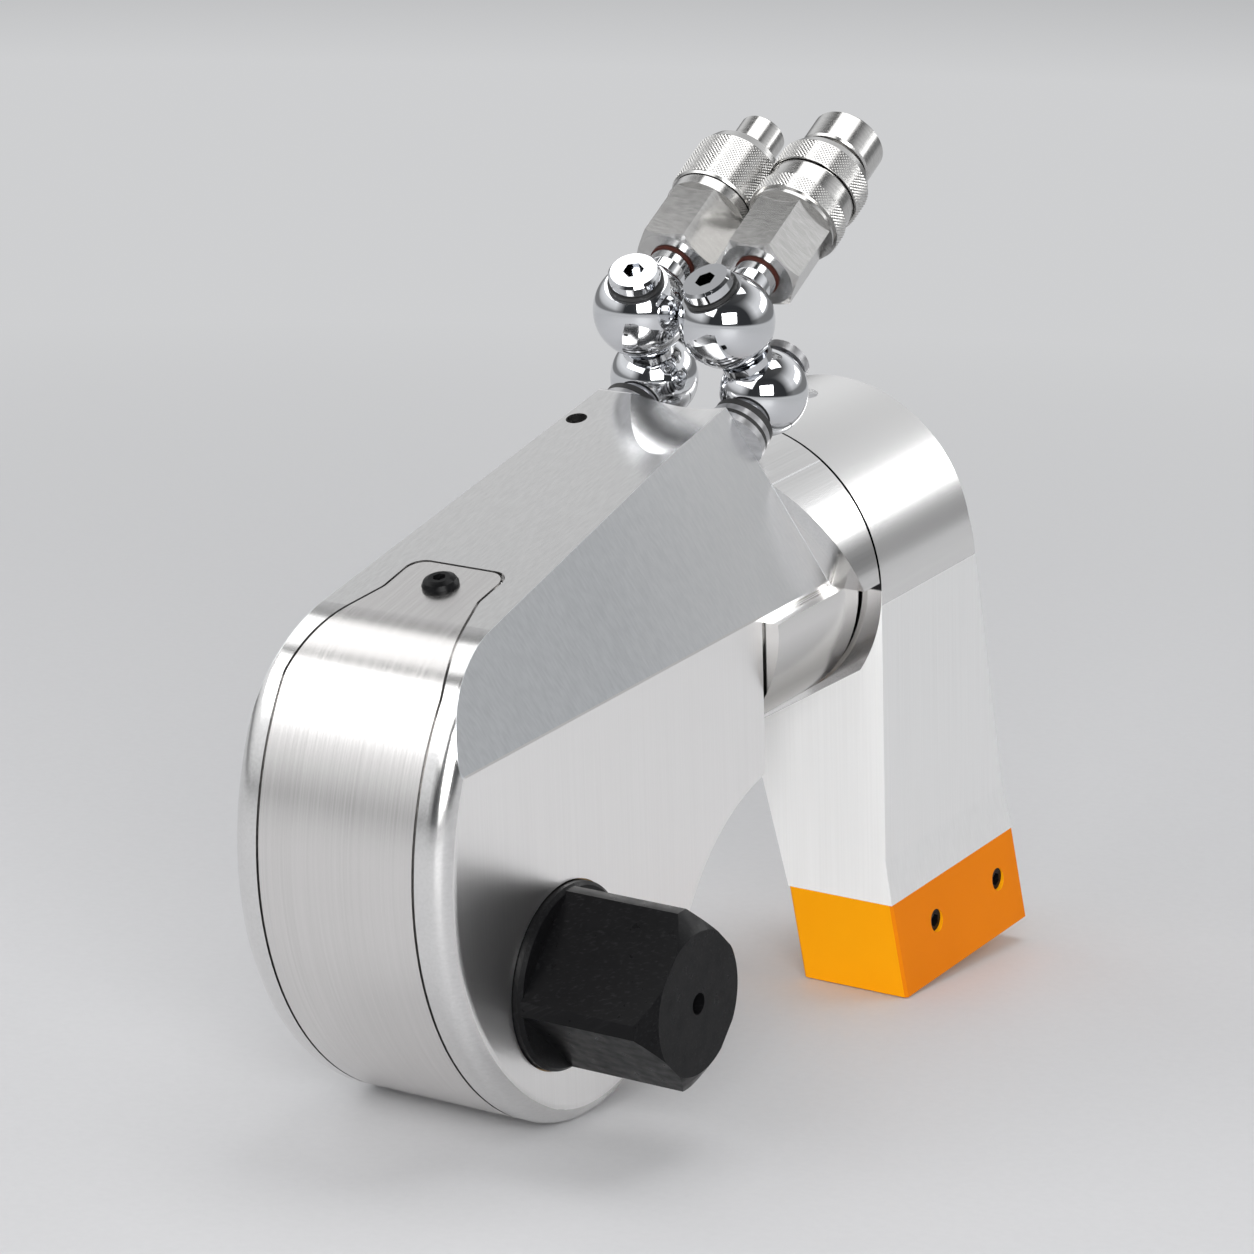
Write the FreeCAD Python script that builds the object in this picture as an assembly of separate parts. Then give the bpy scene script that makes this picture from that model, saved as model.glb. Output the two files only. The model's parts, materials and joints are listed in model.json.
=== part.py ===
import FreeCAD, Part
import math
import os

# A hydraulic torque wrench with a square drive, a ratchet driven by a piston, a
# splined reaction arm and two hose couplers on ball swivels.
# X runs along the drive axis towards the square, Y along the cylinder towards the
# reaction arm, Z up. The drive axis meets the side face at the origin.

os.makedirs("parts", exist_ok=True)

V = FreeCAD.Vector

# Driving sizes, mm and degrees
body_width = 67.6
cylinder_height = 64.0
front_arc_radius = 87.5
front_arc_y = 33.2
front_arc_z = 36.5
bottom_arc_radius = 52.0
bottom_arc_angle = 237.4
top_height = 103.5
top_slope = 12.0
top_corner_radius = 36.0
rim_radius = 6.0
facet_height = 68.7
facet_lean = 13.5
block_rear = 103.0
seat_tilt = 28.0
seat_edge_y = 108.5
seat_drop = 14.0
cover_width = 48.0
cover_thickness = 2.6
cover_gap = 0.8
cover_screw_y = -1.5
tongue_width = 29.0
chamber_width = 42.8
square_across_flats = 38.1
square_across_corners = 50.0
square_length = 41.0
journal_radius = 25.5
ratchet_tip_radius = 31.0
ratchet_teeth = 30
tooth_depth = 2.5
ratchet_width = 24.0
lever_thickness = 8.2
lever_pin_radius = 8.0
bore_radius = 23.5
rod_radius = 11.0
barrel_radius = 38.5
sleeve_radius = 45.0
sleeve_end = 149.0
spline_tip_radius = 36.0
spline_depth = 2.8
spline_teeth = 24
spline_end = 201.0
arm_ring_radius = 44.5
arm_ring_rear = 203.0
arm_side = 10.7
pad_top = -31.0
pad_bottom = -58.6
lower_ball_radius = 12.5
upper_ball_radius = 13.5
lower_ball_spacing = 36.0
upper_ball_spacing = 27.8
ball_pitch = 26.4
hex_across_flats = 22.0
running_fit = 0.05
free_gap = 0.3

# Sizes that follow from them
mid_x = -body_width / 2.0
far_x = -body_width
slope_tan = math.tan(math.radians(top_slope))
under_radius = 58.6
under_lean = 8.0
block_under_rear = 22.9
wall_thickness = (body_width - chamber_width) / 2.0
hub_bore_radius = ratchet_tip_radius - 5.2
lever_hub_radius = ratchet_tip_radius + 0.4
chamber_radius = ratchet_tip_radius + 1.4
lever_gap = ratchet_width + 1.2


def top_z(y):
    # height of the sloping top at y
    return top_height + slope_tan * y


tilt = math.radians(seat_tilt)
seat_normal = V(0, math.cos(tilt), math.sin(tilt))
seat_up = V(0, -math.sin(tilt), math.cos(tilt))
seat_edge = V(mid_x, seat_edge_y, top_z(seat_edge_y))
side_axis = V(1, 0, 0)


def bar(start, axis, radius, length):
    # round bar from a point along an axis
    return Part.makeCylinder(radius, length, start, axis)


def tube(start, axis, outer, inner, length):
    # round ring or tube from a point along an axis
    return bar(start, axis, outer, length).cut(bar(start, axis, inner, length))


def block(x0, x1, y0, y1, z0, z1):
    # square block between two corners
    return Part.makeBox(x1 - x0, y1 - y0, z1 - z0, V(x0, y0, z0))


def frame_at(point, axis, along):
    # placement whose Z is axis and whose X leans to along
    z = V(axis).normalize()
    if abs(z.dot(along)) > 0.999:
        along = V(along.y, along.z, along.x)
    x = (along - z * along.dot(z)).normalize()
    y = z.cross(x)
    m = FreeCAD.Matrix(x.x, y.x, z.x, point.x,
                       x.y, y.y, z.y, point.y,
                       x.z, y.z, z.z, point.z,
                       0, 0, 0, 1)
    return FreeCAD.Placement(m)


def revolved(profile, point, axis, along):
    # turned piece: profile is a list of (radius, height), closed on itself
    points = [V(r, 0, h) for r, h in profile]
    wire = Part.makePolygon(points + [points[0]])
    solid = Part.Face(wire).revolve(V(0, 0, 0), V(0, 0, 1), 360)
    solid.Placement = frame_at(point, axis, along)
    return solid


def prism_x(points, x0, x1):
    # flat outline in Y and Z, pulled along X
    wire = Part.makePolygon([V(x0, y, z) for y, z in points + [points[0]]])
    return Part.Face(wire).extrude(V(x1 - x0, 0, 0))


def prism_z(points, z0, z1):
    # flat outline in X and Y, pulled along Z
    wire = Part.makePolygon([V(x, y, z0) for x, y in points + [points[0]]])
    return Part.Face(wire).extrude(V(0, 0, z1 - z0))


def hexagon(across_flats, start, axis, length, along):
    # six-sided bar
    r = across_flats / math.sqrt(3.0)
    points = [V(r * math.cos(math.radians(60 * k)), r * math.sin(math.radians(60 * k)), 0)
              for k in range(7)]
    solid = Part.Face(Part.makePolygon(points)).extrude(V(0, 0, length))
    solid.Placement = frame_at(start, axis, along)
    return solid


def toothed(tip, root, count, start, axis, length, along, crest=0.42, foot=0.58):
    # splined bar with straight flanks
    points = []
    step = 2 * math.pi / count
    for k in range(count):
        for share, r in ((-foot / 2, root), (-crest / 2, tip), (crest / 2, tip), (foot / 2, root)):
            a = step * (k + share)
            points.append(V(r * math.cos(a), r * math.sin(a), 0))
    solid = Part.Face(Part.makePolygon(points + [points[0]])).extrude(V(0, 0, length))
    solid.Placement = frame_at(start, axis, along)
    return solid


def edges_where(shape, test):
    # edges whose middle point passes a test
    return [e for e in shape.Edges if test(e.BoundBox)]


def export(shape, name):
    solid = shape if isinstance(shape, Part.Compound) else shape.removeSplitter()
    solid.exportStep("parts/" + name + ".step")


def nose_solid(inset, x0, x1, rim):
    # rounded nose: front arc, bottom arc and sloping top, drawn in by inset
    fr = front_arc_radius - inset
    br = bottom_arc_radius - inset
    a = math.radians(bottom_arc_angle)
    reach = front_arc_radius - bottom_arc_radius
    by = front_arc_y + reach * math.cos(a)
    bz = front_arc_z + reach * math.sin(a)
    drop = inset / math.cos(math.radians(top_slope))
    # where the sloping top meets the front arc
    k = top_height - drop - front_arc_z
    qa = 1 + slope_tan ** 2
    qb = -2 * front_arc_y + 2 * slope_tan * k
    qc = front_arc_y ** 2 + k ** 2 - fr ** 2
    cy = (-qb - math.sqrt(qb ** 2 - 4 * qa * qc)) / (2 * qa)
    corner = V(x0, cy, top_z(cy) - drop)
    rear = V(x0, by + br, bz)
    rear_top = V(x0, by + br, top_z(by + br) - drop)
    join = V(x0, front_arc_y + fr * math.cos(a), front_arc_z + fr * math.sin(a))
    c = math.atan2(corner.z - front_arc_z, corner.y - front_arc_y)
    if c < 0:
        c += 2 * math.pi
    m = (c + a) / 2
    front_mid = V(x0, front_arc_y + fr * math.cos(m), front_arc_z + fr * math.sin(m))
    n = (a + 2 * math.pi) / 2
    bottom_mid = V(x0, by + br * math.cos(n), bz + br * math.sin(n))
    wire = Part.Wire([
        Part.makeLine(rear_top, corner),
        Part.Arc(corner, front_mid, join).toShape(),
        Part.Arc(join, bottom_mid, rear).toShape(),
        Part.makeLine(rear, rear_top),
    ])
    solid = Part.Face(wire).extrude(V(x1 - x0, 0, 0))
    edge = edges_where(solid, lambda b: b.XLength > 1 and b.YLength < 0.01 and b.ZLength < 0.01
                       and abs(b.YMin - cy) < 0.1)
    solid = solid.makeFillet(top_corner_radius - inset, edge)
    if rim > 0:
        ring = edges_where(solid, lambda b: b.XLength < 0.01 and b.ZMin < top_z(0) - 2
                           and b.YMin < 0)
        solid = solid.makeFillet(rim, ring)
    return solid


def rear_block():
    # straight-sided body behind the nose, with its slanted swivel seat
    lean = math.radians(under_lean)
    hollow = V(far_x, block_rear + under_radius * math.sin(lean), block_under_rear - under_radius * math.cos(lean))
    first = math.pi / 2 + lean
    last = math.radians(152.0)
    between = (first + last) / 2
    start = hollow + V(0, math.cos(last), math.sin(last)) * under_radius
    mid = hollow + V(0, math.cos(between), math.sin(between)) * under_radius
    end = hollow + V(0, math.cos(first), math.sin(first)) * under_radius
    ledge = facet_height - 1.7
    foot = seat_edge - seat_up * ((seat_edge.z - ledge) / seat_up.z)
    points = [end, V(far_x, block_rear, ledge),
              V(far_x, foot.y, ledge), V(far_x, seat_edge.y, seat_edge.z),
              V(far_x, -4, top_z(-4)), V(far_x, 14, 10), start]
    edges = [Part.Arc(start, mid, end).toShape()]
    edges += [Part.makeLine(a, b) for a, b in zip(points[:-1], points[1:])]
    solid = Part.Face(Part.Wire(edges)).extrude(V(body_width, 0, 0))
    low = edges_where(solid, lambda b: b.XLength > 1 and abs(b.ZMin - block_under_rear) < 0.01
                      and b.ZLength < 0.01)
    solid = solid.makeFillet(3.0, low)
    high = edges_where(solid, lambda b: b.XLength > 1 and abs(b.YMin - seat_edge_y) < 0.01
                       and b.YLength < 0.01)
    return solid.makeFillet(2.5, high)


def facet_cutter(side):
    # wedge that leans the upper side of the body inwards
    lean = math.tan(math.radians(facet_lean))
    x = 0.0 if side > 0 else far_x
    up = 90.0
    points = [V(x, -90, facet_height), V(x + side * 30, -90, facet_height),
              V(x + side * 30, -90, facet_height + up),
              V(x - side * lean * up, -90, facet_height + up)]
    return Part.Face(Part.makePolygon(points + [points[0]])).extrude(V(0, 320, 0))


def sleeve():
    # upper half of the barrel, stepped out over the spline end
    axis = V(0, 1, 0)
    start = V(mid_x, 100, cylinder_height)
    solid = bar(start, axis, sleeve_radius, sleeve_end - 100)
    solid = solid.common(block(-120, 60, 90, 160, facet_height - 1.7, 140))
    size = 150
    behind = Part.makeBox(size, size, size, V(-size / 2.0, -size / 2.0, 0))
    behind.Placement = frame_at(seat_edge, seat_normal, side_axis)
    return solid.common(behind)


def barrel():
    # round cylinder behind the block and the spline under the arm
    axis = V(0, 1, 0)
    centre = V(mid_x, 0, cylinder_height)
    body = bar(centre + axis * (block_rear + 1.0), axis, barrel_radius, sleeve_end - block_rear - 1.0)
    rim = edges_where(body, lambda b: abs(b.YMin - sleeve_end) < 0.01 and b.YLength < 0.01)
    body = body.makeChamfer(1.2, rim)
    inner = bar(centre + axis * 60, axis, 33.0, 60)
    spline = toothed(spline_tip_radius, spline_tip_radius - spline_depth, spline_teeth,
                     centre + axis * (sleeve_end - 4), axis, spline_end - sleeve_end + 4, V(0, 0, 1))
    trim = revolved([(0, 0), (spline_tip_radius, 0), (spline_tip_radius, spline_end - sleeve_end + 1),
                     (spline_tip_radius - 3, spline_end - sleeve_end + 4), (0, spline_end - sleeve_end + 4)],
                    centre + axis * (sleeve_end - 4), axis, V(0, 0, 1))
    return body.fuse(inner).fuse(spline.common(trim))


def cover_mask(grow):
    # region of the nose that the cover wraps, with its narrow tongue on the top
    w = cover_width / 2.0 + grow
    t = tongue_width / 2.0 + grow
    tip = 8.5 + grow
    round_off = 5.0
    plan = [(mid_x - w, -80), (mid_x + w, -80), (mid_x + w, -38), (mid_x + t, -6),
            (mid_x + t, tip), (mid_x - t, tip), (mid_x - t, -6), (mid_x - w, -38)]
    tongue = prism_z(plan, 60, 130)
    corners = edges_where(tongue, lambda b: b.ZLength > 1 and b.YMin > -80 and b.XLength < 0.01)
    ends = [e for e in corners if abs(e.BoundBox.YMin - tip) < 0.01]
    bends = [e for e in corners if e.BoundBox.YMin < tip - 1]
    tongue = tongue.makeFillet(round_off, ends)
    bends = edges_where(tongue, lambda b: b.ZLength > 1 and b.XLength < 0.01 and b.YLength < 0.01
                        and -39 < b.YMin < -5)
    tongue = tongue.makeFillet(round_off, bends)
    low = block(mid_x - w, mid_x + w, -80, 40 + grow, -80, 62)
    clip = block(mid_x - w, mid_x + w, -80, 14, -80, 62)
    under = block(mid_x - w, mid_x + w, 0, 40 + grow, -80, 0)
    return tongue.fuse(low.common(clip.fuse(under))).removeSplitter()


def cover_shell(grow, depth):
    # skin of the nose inside the mask
    skin = nose_solid(0, far_x + 1, -1, 0).cut(nose_solid(depth, far_x, 0, 0))
    return skin.common(cover_mask(grow))


chamber_x0 = mid_x - chamber_width / 2.0
chamber_x1 = mid_x + chamber_width / 2.0
window = chamber_width - 6.4
x_axis = V(1, 0, 0)
y_axis = V(0, 1, 0)
z_axis = V(0, 0, 1)
cylinder_centre = V(mid_x, 0, cylinder_height)
gland_front = 96.0
gland_length = 22.0
cap_length = 16.0
rod_hole_radius = rod_radius + 1.5


def chamber():
    # room for the ratchet, the lever and the pawls, open to the front under the cover
    drum = bar(V(chamber_x0, 0, 0), x_axis, chamber_radius, chamber_width)
    high = cylinder_height + 15.5
    lever_room = prism_x([(-31, 5), (31, 5), (38, cylinder_height - 14), (38, high), (-31, high)],
                         chamber_x0, chamber_x1)
    front = nose_solid(cover_thickness, mid_x - window / 2.0, mid_x + window / 2.0, 0)
    reach = block(-80, 10, -80, 12, -80, cylinder_height + 14).cut(block(-80, 10, 10, 20, 0, top_height - 13.5))
    opening = front.common(reach)
    return drum.fuse(lever_room).fuse(opening)


def side_bores():
    # seats for the two drive bushings
    right = bar(V(-wall_thickness - 1, 0, 0), x_axis, journal_radius + 3.0, wall_thickness - 0.5)
    right = right.fuse(bar(V(-wall_thickness - 1, 0, 0), x_axis, journal_radius + 0.4, wall_thickness + 2))
    left = bar(V(far_x + 1.5, 0, 0), x_axis, journal_radius - 0.4, wall_thickness)
    left = left.fuse(bar(V(far_x - 1, 0, 0), x_axis, journal_radius - 3.1, wall_thickness + 2))
    return right.fuse(left)


pawl_pin_y = -40.5
pawl_pin_z = 31.0
pawl_pin_radius = 3.0
cover_screw_top = V(mid_x, cover_screw_y, top_z(cover_screw_y))
top_normal = V(0, -math.sin(math.radians(top_slope)), math.cos(math.radians(top_slope)))
nose_bottom_y = front_arc_y + (front_arc_radius - bottom_arc_radius) * math.cos(math.radians(bottom_arc_angle))
nose_bottom_z = front_arc_z + (front_arc_radius - bottom_arc_radius) * math.sin(math.radians(bottom_arc_angle))
cover_screw_angle = math.radians(-66)
low_normal = V(0, math.cos(cover_screw_angle), math.sin(cover_screw_angle))
cover_screw_low = V(mid_x, nose_bottom_y, nose_bottom_z) + low_normal * bottom_arc_radius
handle_hole = V(mid_x - 16.5, 90, top_z(90))
handle_hole_radius = 3.0
handle_hole_depth = 10.0


def swivel_foot(side):
    # point on the slanted seat where a lower ball's post stands
    return seat_edge - seat_up * seat_drop + side_axis * (side * lower_ball_spacing / 2.0)


def lower_centre(side):
    return swivel_foot(side) + seat_normal * 20.0


def chain_axis(side):
    # direction from a lower ball to its upper ball, leaning to the middle
    dx = (lower_ball_spacing - upper_ball_spacing) / 2.0
    s = dx / ball_pitch
    return side_axis * (-side * s) + seat_up * math.sqrt(1 - s * s)


def upper_centre(side):
    return lower_centre(side) + chain_axis(side) * ball_pitch


post_radius = 5.0
scoop_radius = 40.0
post_shank_radius = 4.2


def housing():
    solid = nose_solid(0, far_x, 0, rim_radius).fuse(rear_block())
    solid = solid.cut(facet_cutter(1)).cut(facet_cutter(-1))
    solid = solid.fuse(barrel()).fuse(sleeve())
    solid = solid.cut(cover_shell(cover_gap, cover_thickness))
    solid = solid.cut(chamber())
    solid = solid.cut(side_bores())
    solid = solid.cut(bar(cylinder_centre + y_axis * 30, y_axis, rod_hole_radius, 90))
    solid = solid.cut(bar(cylinder_centre + y_axis * gland_front, y_axis, bore_radius, 120))
    thread = bar(cylinder_centre + y_axis * (spline_end - cap_length - 2), y_axis, bore_radius + 1.5, 30)
    solid = solid.cut(thread)
    solid = solid.cut(bar(V(far_x + 3, pawl_pin_y, pawl_pin_z), x_axis, pawl_pin_radius, body_width - 6))
    solid = solid.cut(bar(cover_screw_top - top_normal * 14, top_normal, 2.5, 20))
    solid = solid.cut(bar(cover_screw_low - low_normal * 14, low_normal, 2.5, 20))
    solid = solid.cut(bar(handle_hole - top_normal * handle_hole_depth, top_normal, handle_hole_radius, 20))
    for side in (-1, 1):
        foot = swivel_foot(side)
        solid = solid.cut(bar(foot - seat_normal * 13, seat_normal, post_shank_radius, 20))
        solid = solid.cut(bar(foot, seat_normal, lower_ball_radius + 0.6, 45))
    # scooped relief in the rear of the top, under the swivel
    scoop_axis = V(-0.30, 0.95, 0.10).normalize()
    apex = V(mid_x + 14.0, 80, top_z(80))
    solid = solid.cut(bar(apex + V(0, 0, scoop_radius) - scoop_axis * 20, scoop_axis, scoop_radius, 80))
    # groove for the arm's lock plunger along the top of the spline
    keyway = block(mid_x - 4.4, mid_x + 4.4, sleeve_end, spline_end + 5, cylinder_height + 30, top_height + 7)
    keyway = keyway.cut(bar(cylinder_centre + y_axis * 140, y_axis, spline_tip_radius - spline_depth, 80))
    return solid.cut(keyway.common(bar(cylinder_centre + y_axis * (sleeve_end + 0.01), y_axis, 40, 60)))


def nose_cover():
    solid = cover_shell(0, cover_thickness)
    solid = solid.cut(bar(cover_screw_top - top_normal * 14, top_normal, 2.8, 20))
    return solid.cut(bar(cover_screw_low - low_normal * 14, low_normal, 2.8, 20))


def button_screw(seat, axis):
    # low round head with a socket, and its shank
    head = revolved([(0, -9), (2.4, -9), (2.4, 0), (5.0, 0), (5.0, 0.8), (4.4, 1.9), (3.0, 2.6),
                     (0, 2.6)], seat, axis, x_axis)
    socket = hexagon(3.2, seat + axis * 0.9, axis, 4, x_axis)
    return head.cut(socket)


def cover_screws():
    return Part.makeCompound([button_screw(cover_screw_top, top_normal),
                              button_screw(cover_screw_low, low_normal)])


def drive_bushings():
    depth = wall_thickness - 2.0
    right = tube(V(-1.5 - depth + 0.5, 0, 0), x_axis, journal_radius + 3.0, journal_radius + running_fit,
                 depth - 0.5)
    left = tube(V(far_x + 1.5, 0, 0), x_axis, journal_radius - 0.4, journal_radius - 3.5 + running_fit, depth - 0.5)
    return Part.makeCompound([right, left])


shaft_radius = journal_radius - 3.5
spline_root = shaft_radius - 2.0


def square_drive():
    # journal, spline and square with cut-back corners and a coned end
    half = square_across_flats / 2.0
    square = Part.makeBox(square_across_flats, square_across_flats, square_length,
                          V(-half, -half, 0))
    square.Placement = frame_at(V(0, 0, 0), x_axis, V(0, 1, 1))
    corner = bar(V(0, 0, 0), x_axis, square_across_corners / 2.0, square_length)
    end = revolved([(0, 0), (40, 0), (40, square_length - 16), (19.5, square_length), (0, square_length)],
                   V(0, 0, 0), x_axis, y_axis)
    square = square.common(corner).common(end)
    flange = revolved([(0, -wall_thickness - 0.6), (journal_radius, -wall_thickness - 0.6), (journal_radius, 1.6),
                       (journal_radius - 1.0, 2.6), (0, 2.6)], V(0, 0, 0), x_axis, y_axis)
    spline_start = mid_x - ratchet_width / 2.0 - lever_thickness
    spline = toothed(shaft_radius, spline_root, 16, V(spline_start, 0, 0), x_axis,
                     -wall_thickness - 0.6 - spline_start, y_axis)
    stub = bar(V(far_x + 0.2, 0, 0), x_axis, shaft_radius - 0.01, spline_start - far_x - 0.2)
    solid = square.fuse(flange).fuse(spline).fuse(stub)
    solid = solid.cut(bar(V(20, 0, 0), x_axis, 2.9, 40))
    return solid.cut(bar(V(far_x - 1, 0, 0), x_axis, 8.2, 9.2))


def ratchet_wheel():
    # saw-toothed ring with a hub each side and a splined bore
    points = []
    step = 2 * math.pi / ratchet_teeth
    for k in range(ratchet_teeth):
        a = step * k + math.pi / 2
        points.append(V(0, ratchet_tip_radius * math.cos(a), ratchet_tip_radius * math.sin(a)))
        b = a + 0.12 * step
        root = ratchet_tip_radius - tooth_depth
        points.append(V(0, root * math.cos(b), root * math.sin(b)))
    ring = Part.Face(Part.makePolygon(points + [points[0]])).extrude(V(ratchet_width, 0, 0))
    ring.translate(V(mid_x - ratchet_width / 2.0, 0, 0))
    hub_length = ratchet_width + 2 * lever_thickness
    hub = bar(V(mid_x - hub_length / 2.0, 0, 0), x_axis, hub_bore_radius, hub_length)
    bore = toothed(shaft_radius + 0.1, spline_root + 0.1, 16, V(mid_x - 40, 0, 0), x_axis, 80, y_axis,
                   crest=0.44, foot=0.60)
    return ring.fuse(hub).cut(bore)


def lever_outline():
    # side plate of the lever: hub on the ratchet, boss round the pin
    r0 = lever_hub_radius
    r1 = 13.0
    h = cylinder_height
    a = math.asin((r0 - r1) / h)
    ca, sa = math.cos(a), math.sin(a)
    left0 = V(0, -r0 * ca, r0 * sa)
    left1 = V(0, -r1 * ca, h + r1 * sa)
    right0 = V(0, r0 * ca, r0 * sa)
    right1 = V(0, r1 * ca, h + r1 * sa)
    wire = Part.Wire([Part.makeLine(left0, left1), Part.Arc(left1, V(0, 0, h + r1), right1).toShape(),
                      Part.makeLine(right1, right0), Part.Arc(right0, V(0, 0, -r0), left0).toShape()])
    return Part.Face(wire)


def lever_plate(x0):
    solid = lever_outline().extrude(V(lever_thickness, 0, 0))
    solid.translate(V(x0, 0, 0))
    solid = solid.cut(bar(V(x0 - 1, 0, 0), x_axis, hub_bore_radius + running_fit, lever_thickness + 2))
    solid = solid.cut(bar(V(x0 - 1, 0, cylinder_height), x_axis, lever_pin_radius, lever_thickness + 2))
    for y in (-17.5, 17.5):
        solid = solid.cut(bar(V(x0 - 1, y, cylinder_height - 24.0), x_axis, 2.5, lever_thickness + 2))
    return solid


left_plate_x = mid_x - lever_gap / 2.0 - lever_thickness
right_plate_x = mid_x + lever_gap / 2.0


def lever_plates():
    return Part.makeCompound([lever_plate(left_plate_x), lever_plate(right_plate_x)])


def lever_pin():
    return bar(V(left_plate_x + 0.2, 0, cylinder_height), x_axis, lever_pin_radius,
               lever_gap + 2 * lever_thickness - 0.4)


pawl_half = 9.0
pawl_spring_y = 4.5
bridge_high = cylinder_height - 13.0
bridge_low = bridge_high - 4.2
pawl_top = bridge_low - 5.8
rivet_z = bridge_high - 11.0
cheek_low = rivet_z - 6.5


def lever_bridge():
    # guide between the plates: two cheeks beside the drive pawl and a roof over its springs
    x0 = mid_x - lever_gap / 2.0
    x1 = mid_x + lever_gap / 2.0
    roof = block(x0, x1, -21, 21, bridge_low, bridge_high)
    left = block(x0, x1, -21, -pawl_half - 0.1, cheek_low, bridge_high)
    right = block(x0, x1, pawl_half + 0.1, 21, cheek_low, bridge_high)
    solid = roof.fuse(left).fuse(right)
    step_z = bridge_high - 7.0
    below = cheek_low - 3.5
    outline = [(-21, below), (21, below), (21, step_z), (12, bridge_high), (-12, bridge_high), (-21, step_z)]
    trim = prism_x(outline, x0, x1)
    solid = solid.common(trim)
    for y in (-17.5, 17.5):
        solid = solid.cut(bar(V(x0 - 1, y, rivet_z), x_axis, 2.5, lever_gap + 2))
    for y in (-pawl_spring_y, pawl_spring_y):
        solid = solid.cut(bar(V(mid_x, y, bridge_low - 1), z_axis, 3.2, 2.4))
    return solid


def lever_rivets():
    rivets = []
    for y in (-17.5, 17.5):
        rivets.append(bar(V(left_plate_x + 0.3, y, rivet_z), x_axis, 2.5, lever_gap + 2 * lever_thickness - 0.6))
    return Part.makeCompound(rivets)


def drive_pawl():
    # sliding segment whose teeth fill the ratchet's
    w = ratchet_width
    body = block(mid_x - w / 2.0, mid_x + w / 2.0, -pawl_half, pawl_half, 24, pawl_top)
    ring = ratchet_teeth_form(0.12)
    body = body.cut(ring)
    for y in (-pawl_spring_y, pawl_spring_y):
        body = body.cut(bar(V(mid_x, y, pawl_top - 3.0), z_axis, 3.3, 5))
    return body


def ratchet_teeth_form(clear):
    # the ratchet's teeth grown by a clearance, to cut the pawl's own
    points = []
    step = 2 * math.pi / ratchet_teeth
    tip = ratchet_tip_radius + clear
    root = ratchet_tip_radius - tooth_depth + clear
    for k in range(ratchet_teeth):
        a = step * k + math.pi / 2
        shift = clear / ratchet_tip_radius
        points.append(V(0, tip * math.cos(a - shift), tip * math.sin(a - shift)))
        points.append(V(0, tip * math.cos(a + shift), tip * math.sin(a + shift)))
        b = a + 0.12 * step + shift
        points.append(V(0, root * math.cos(b), root * math.sin(b)))
    solid = Part.Face(Part.makePolygon(points + [points[0]])).extrude(V(ratchet_width + 4, 0, 0))
    solid.translate(V(mid_x - ratchet_width / 2.0 - 2, 0, 0))
    return solid


def disc_springs(start, axis, outer, inner, length, count):
    # stack of coned spring washers, turned face to face in pairs
    gauge = 0.6
    pitch = length / count
    discs = []
    for k in range(count):
        low, high = (0, pitch - gauge) if k % 2 == 0 else (pitch - gauge, 0)
        profile = [(inner, high), (outer, low), (outer, low + gauge), (inner, high + gauge)]
        discs.append(revolved(profile, start + axis * (pitch * k), axis, side_axis))
    return Part.makeCompound(discs)


def torsion_coil(start, axis, inner, wire, turns):
    # close-wound coil, drawn as its turns side by side
    profile = [(inner, 0)]
    for k in range(turns):
        profile += [(inner + wire * 0.7, wire * k), (inner + wire, wire * (k + 0.3)),
                    (inner + wire, wire * (k + 0.7)), (inner + wire * 0.7, wire * (k + 1))]
    profile.append((inner, wire * turns))
    return revolved(profile, start, axis, side_axis)


def drive_pawl_springs():
    low = pawl_top - 3.0
    high = bridge_low + 1.4
    discs = []
    for y in (-pawl_spring_y, pawl_spring_y):
        discs += disc_springs(V(mid_x, y, low), z_axis, 2.9, 1.4, high - low, 4).Solids
    return Part.makeCompound(discs)


def retaining_pawl():
    # anti-backlash pawl that rides on the ratchet's teeth
    w = ratchet_width - 8
    x0 = mid_x - w / 2.0
    boss = bar(V(x0, pawl_pin_y, pawl_pin_z), x_axis, 5.6, w)
    reach = ratchet_tip_radius + free_gap
    tip_angle = math.radians(163)
    ty = reach * math.cos(tip_angle)
    tz = reach * math.sin(tip_angle)
    back_angle = math.radians(176)
    ky = (reach + 0.4) * math.cos(back_angle)
    kz = (reach + 0.4) * math.sin(back_angle)
    arm = prism_x([(pawl_pin_y + 5.0, pawl_pin_z - 1.0), (ty, tz), (ky, kz), (ky - 4.5, kz + 1.0),
                   (pawl_pin_y - 5.4, pawl_pin_z - 2.0)], x0, x0 + w)
    solid = boss.fuse(arm).removeSplitter()
    return solid.cut(bar(V(x0 - 1, pawl_pin_y, pawl_pin_z), x_axis, pawl_pin_radius + running_fit, w + 2))


def retaining_pin():
    return bar(V(far_x + 3, pawl_pin_y, pawl_pin_z), x_axis, pawl_pin_radius, body_width - 6)


def retaining_spring():
    # coil round the pin beside the pawl
    start = V(mid_x + (ratchet_width - 8) / 2.0 + 0.5, pawl_pin_y, pawl_pin_z)
    return torsion_coil(start, x_axis, pawl_pin_radius + running_fit, 1.2, 4)


piston_front = 136.0
piston_length = 20.0
piston_stroke = cylinder_height * math.sin(math.radians(12.0))


def piston():
    solid = bar(cylinder_centre + y_axis * piston_front, y_axis, bore_radius - running_fit, piston_length)
    groove = tube(cylinder_centre + y_axis * (piston_front + 7), y_axis, bore_radius + 1, bore_radius - 3.5, 5)
    return solid.cut(groove).cut(bar(cylinder_centre + y_axis * (piston_front - 1), y_axis, 7.0, 30))


def piston_seal():
    return tube(cylinder_centre + y_axis * (piston_front + 7), y_axis, bore_radius - 0.02, bore_radius - 3.5, 5)


rod_end_half = 12.0


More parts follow.
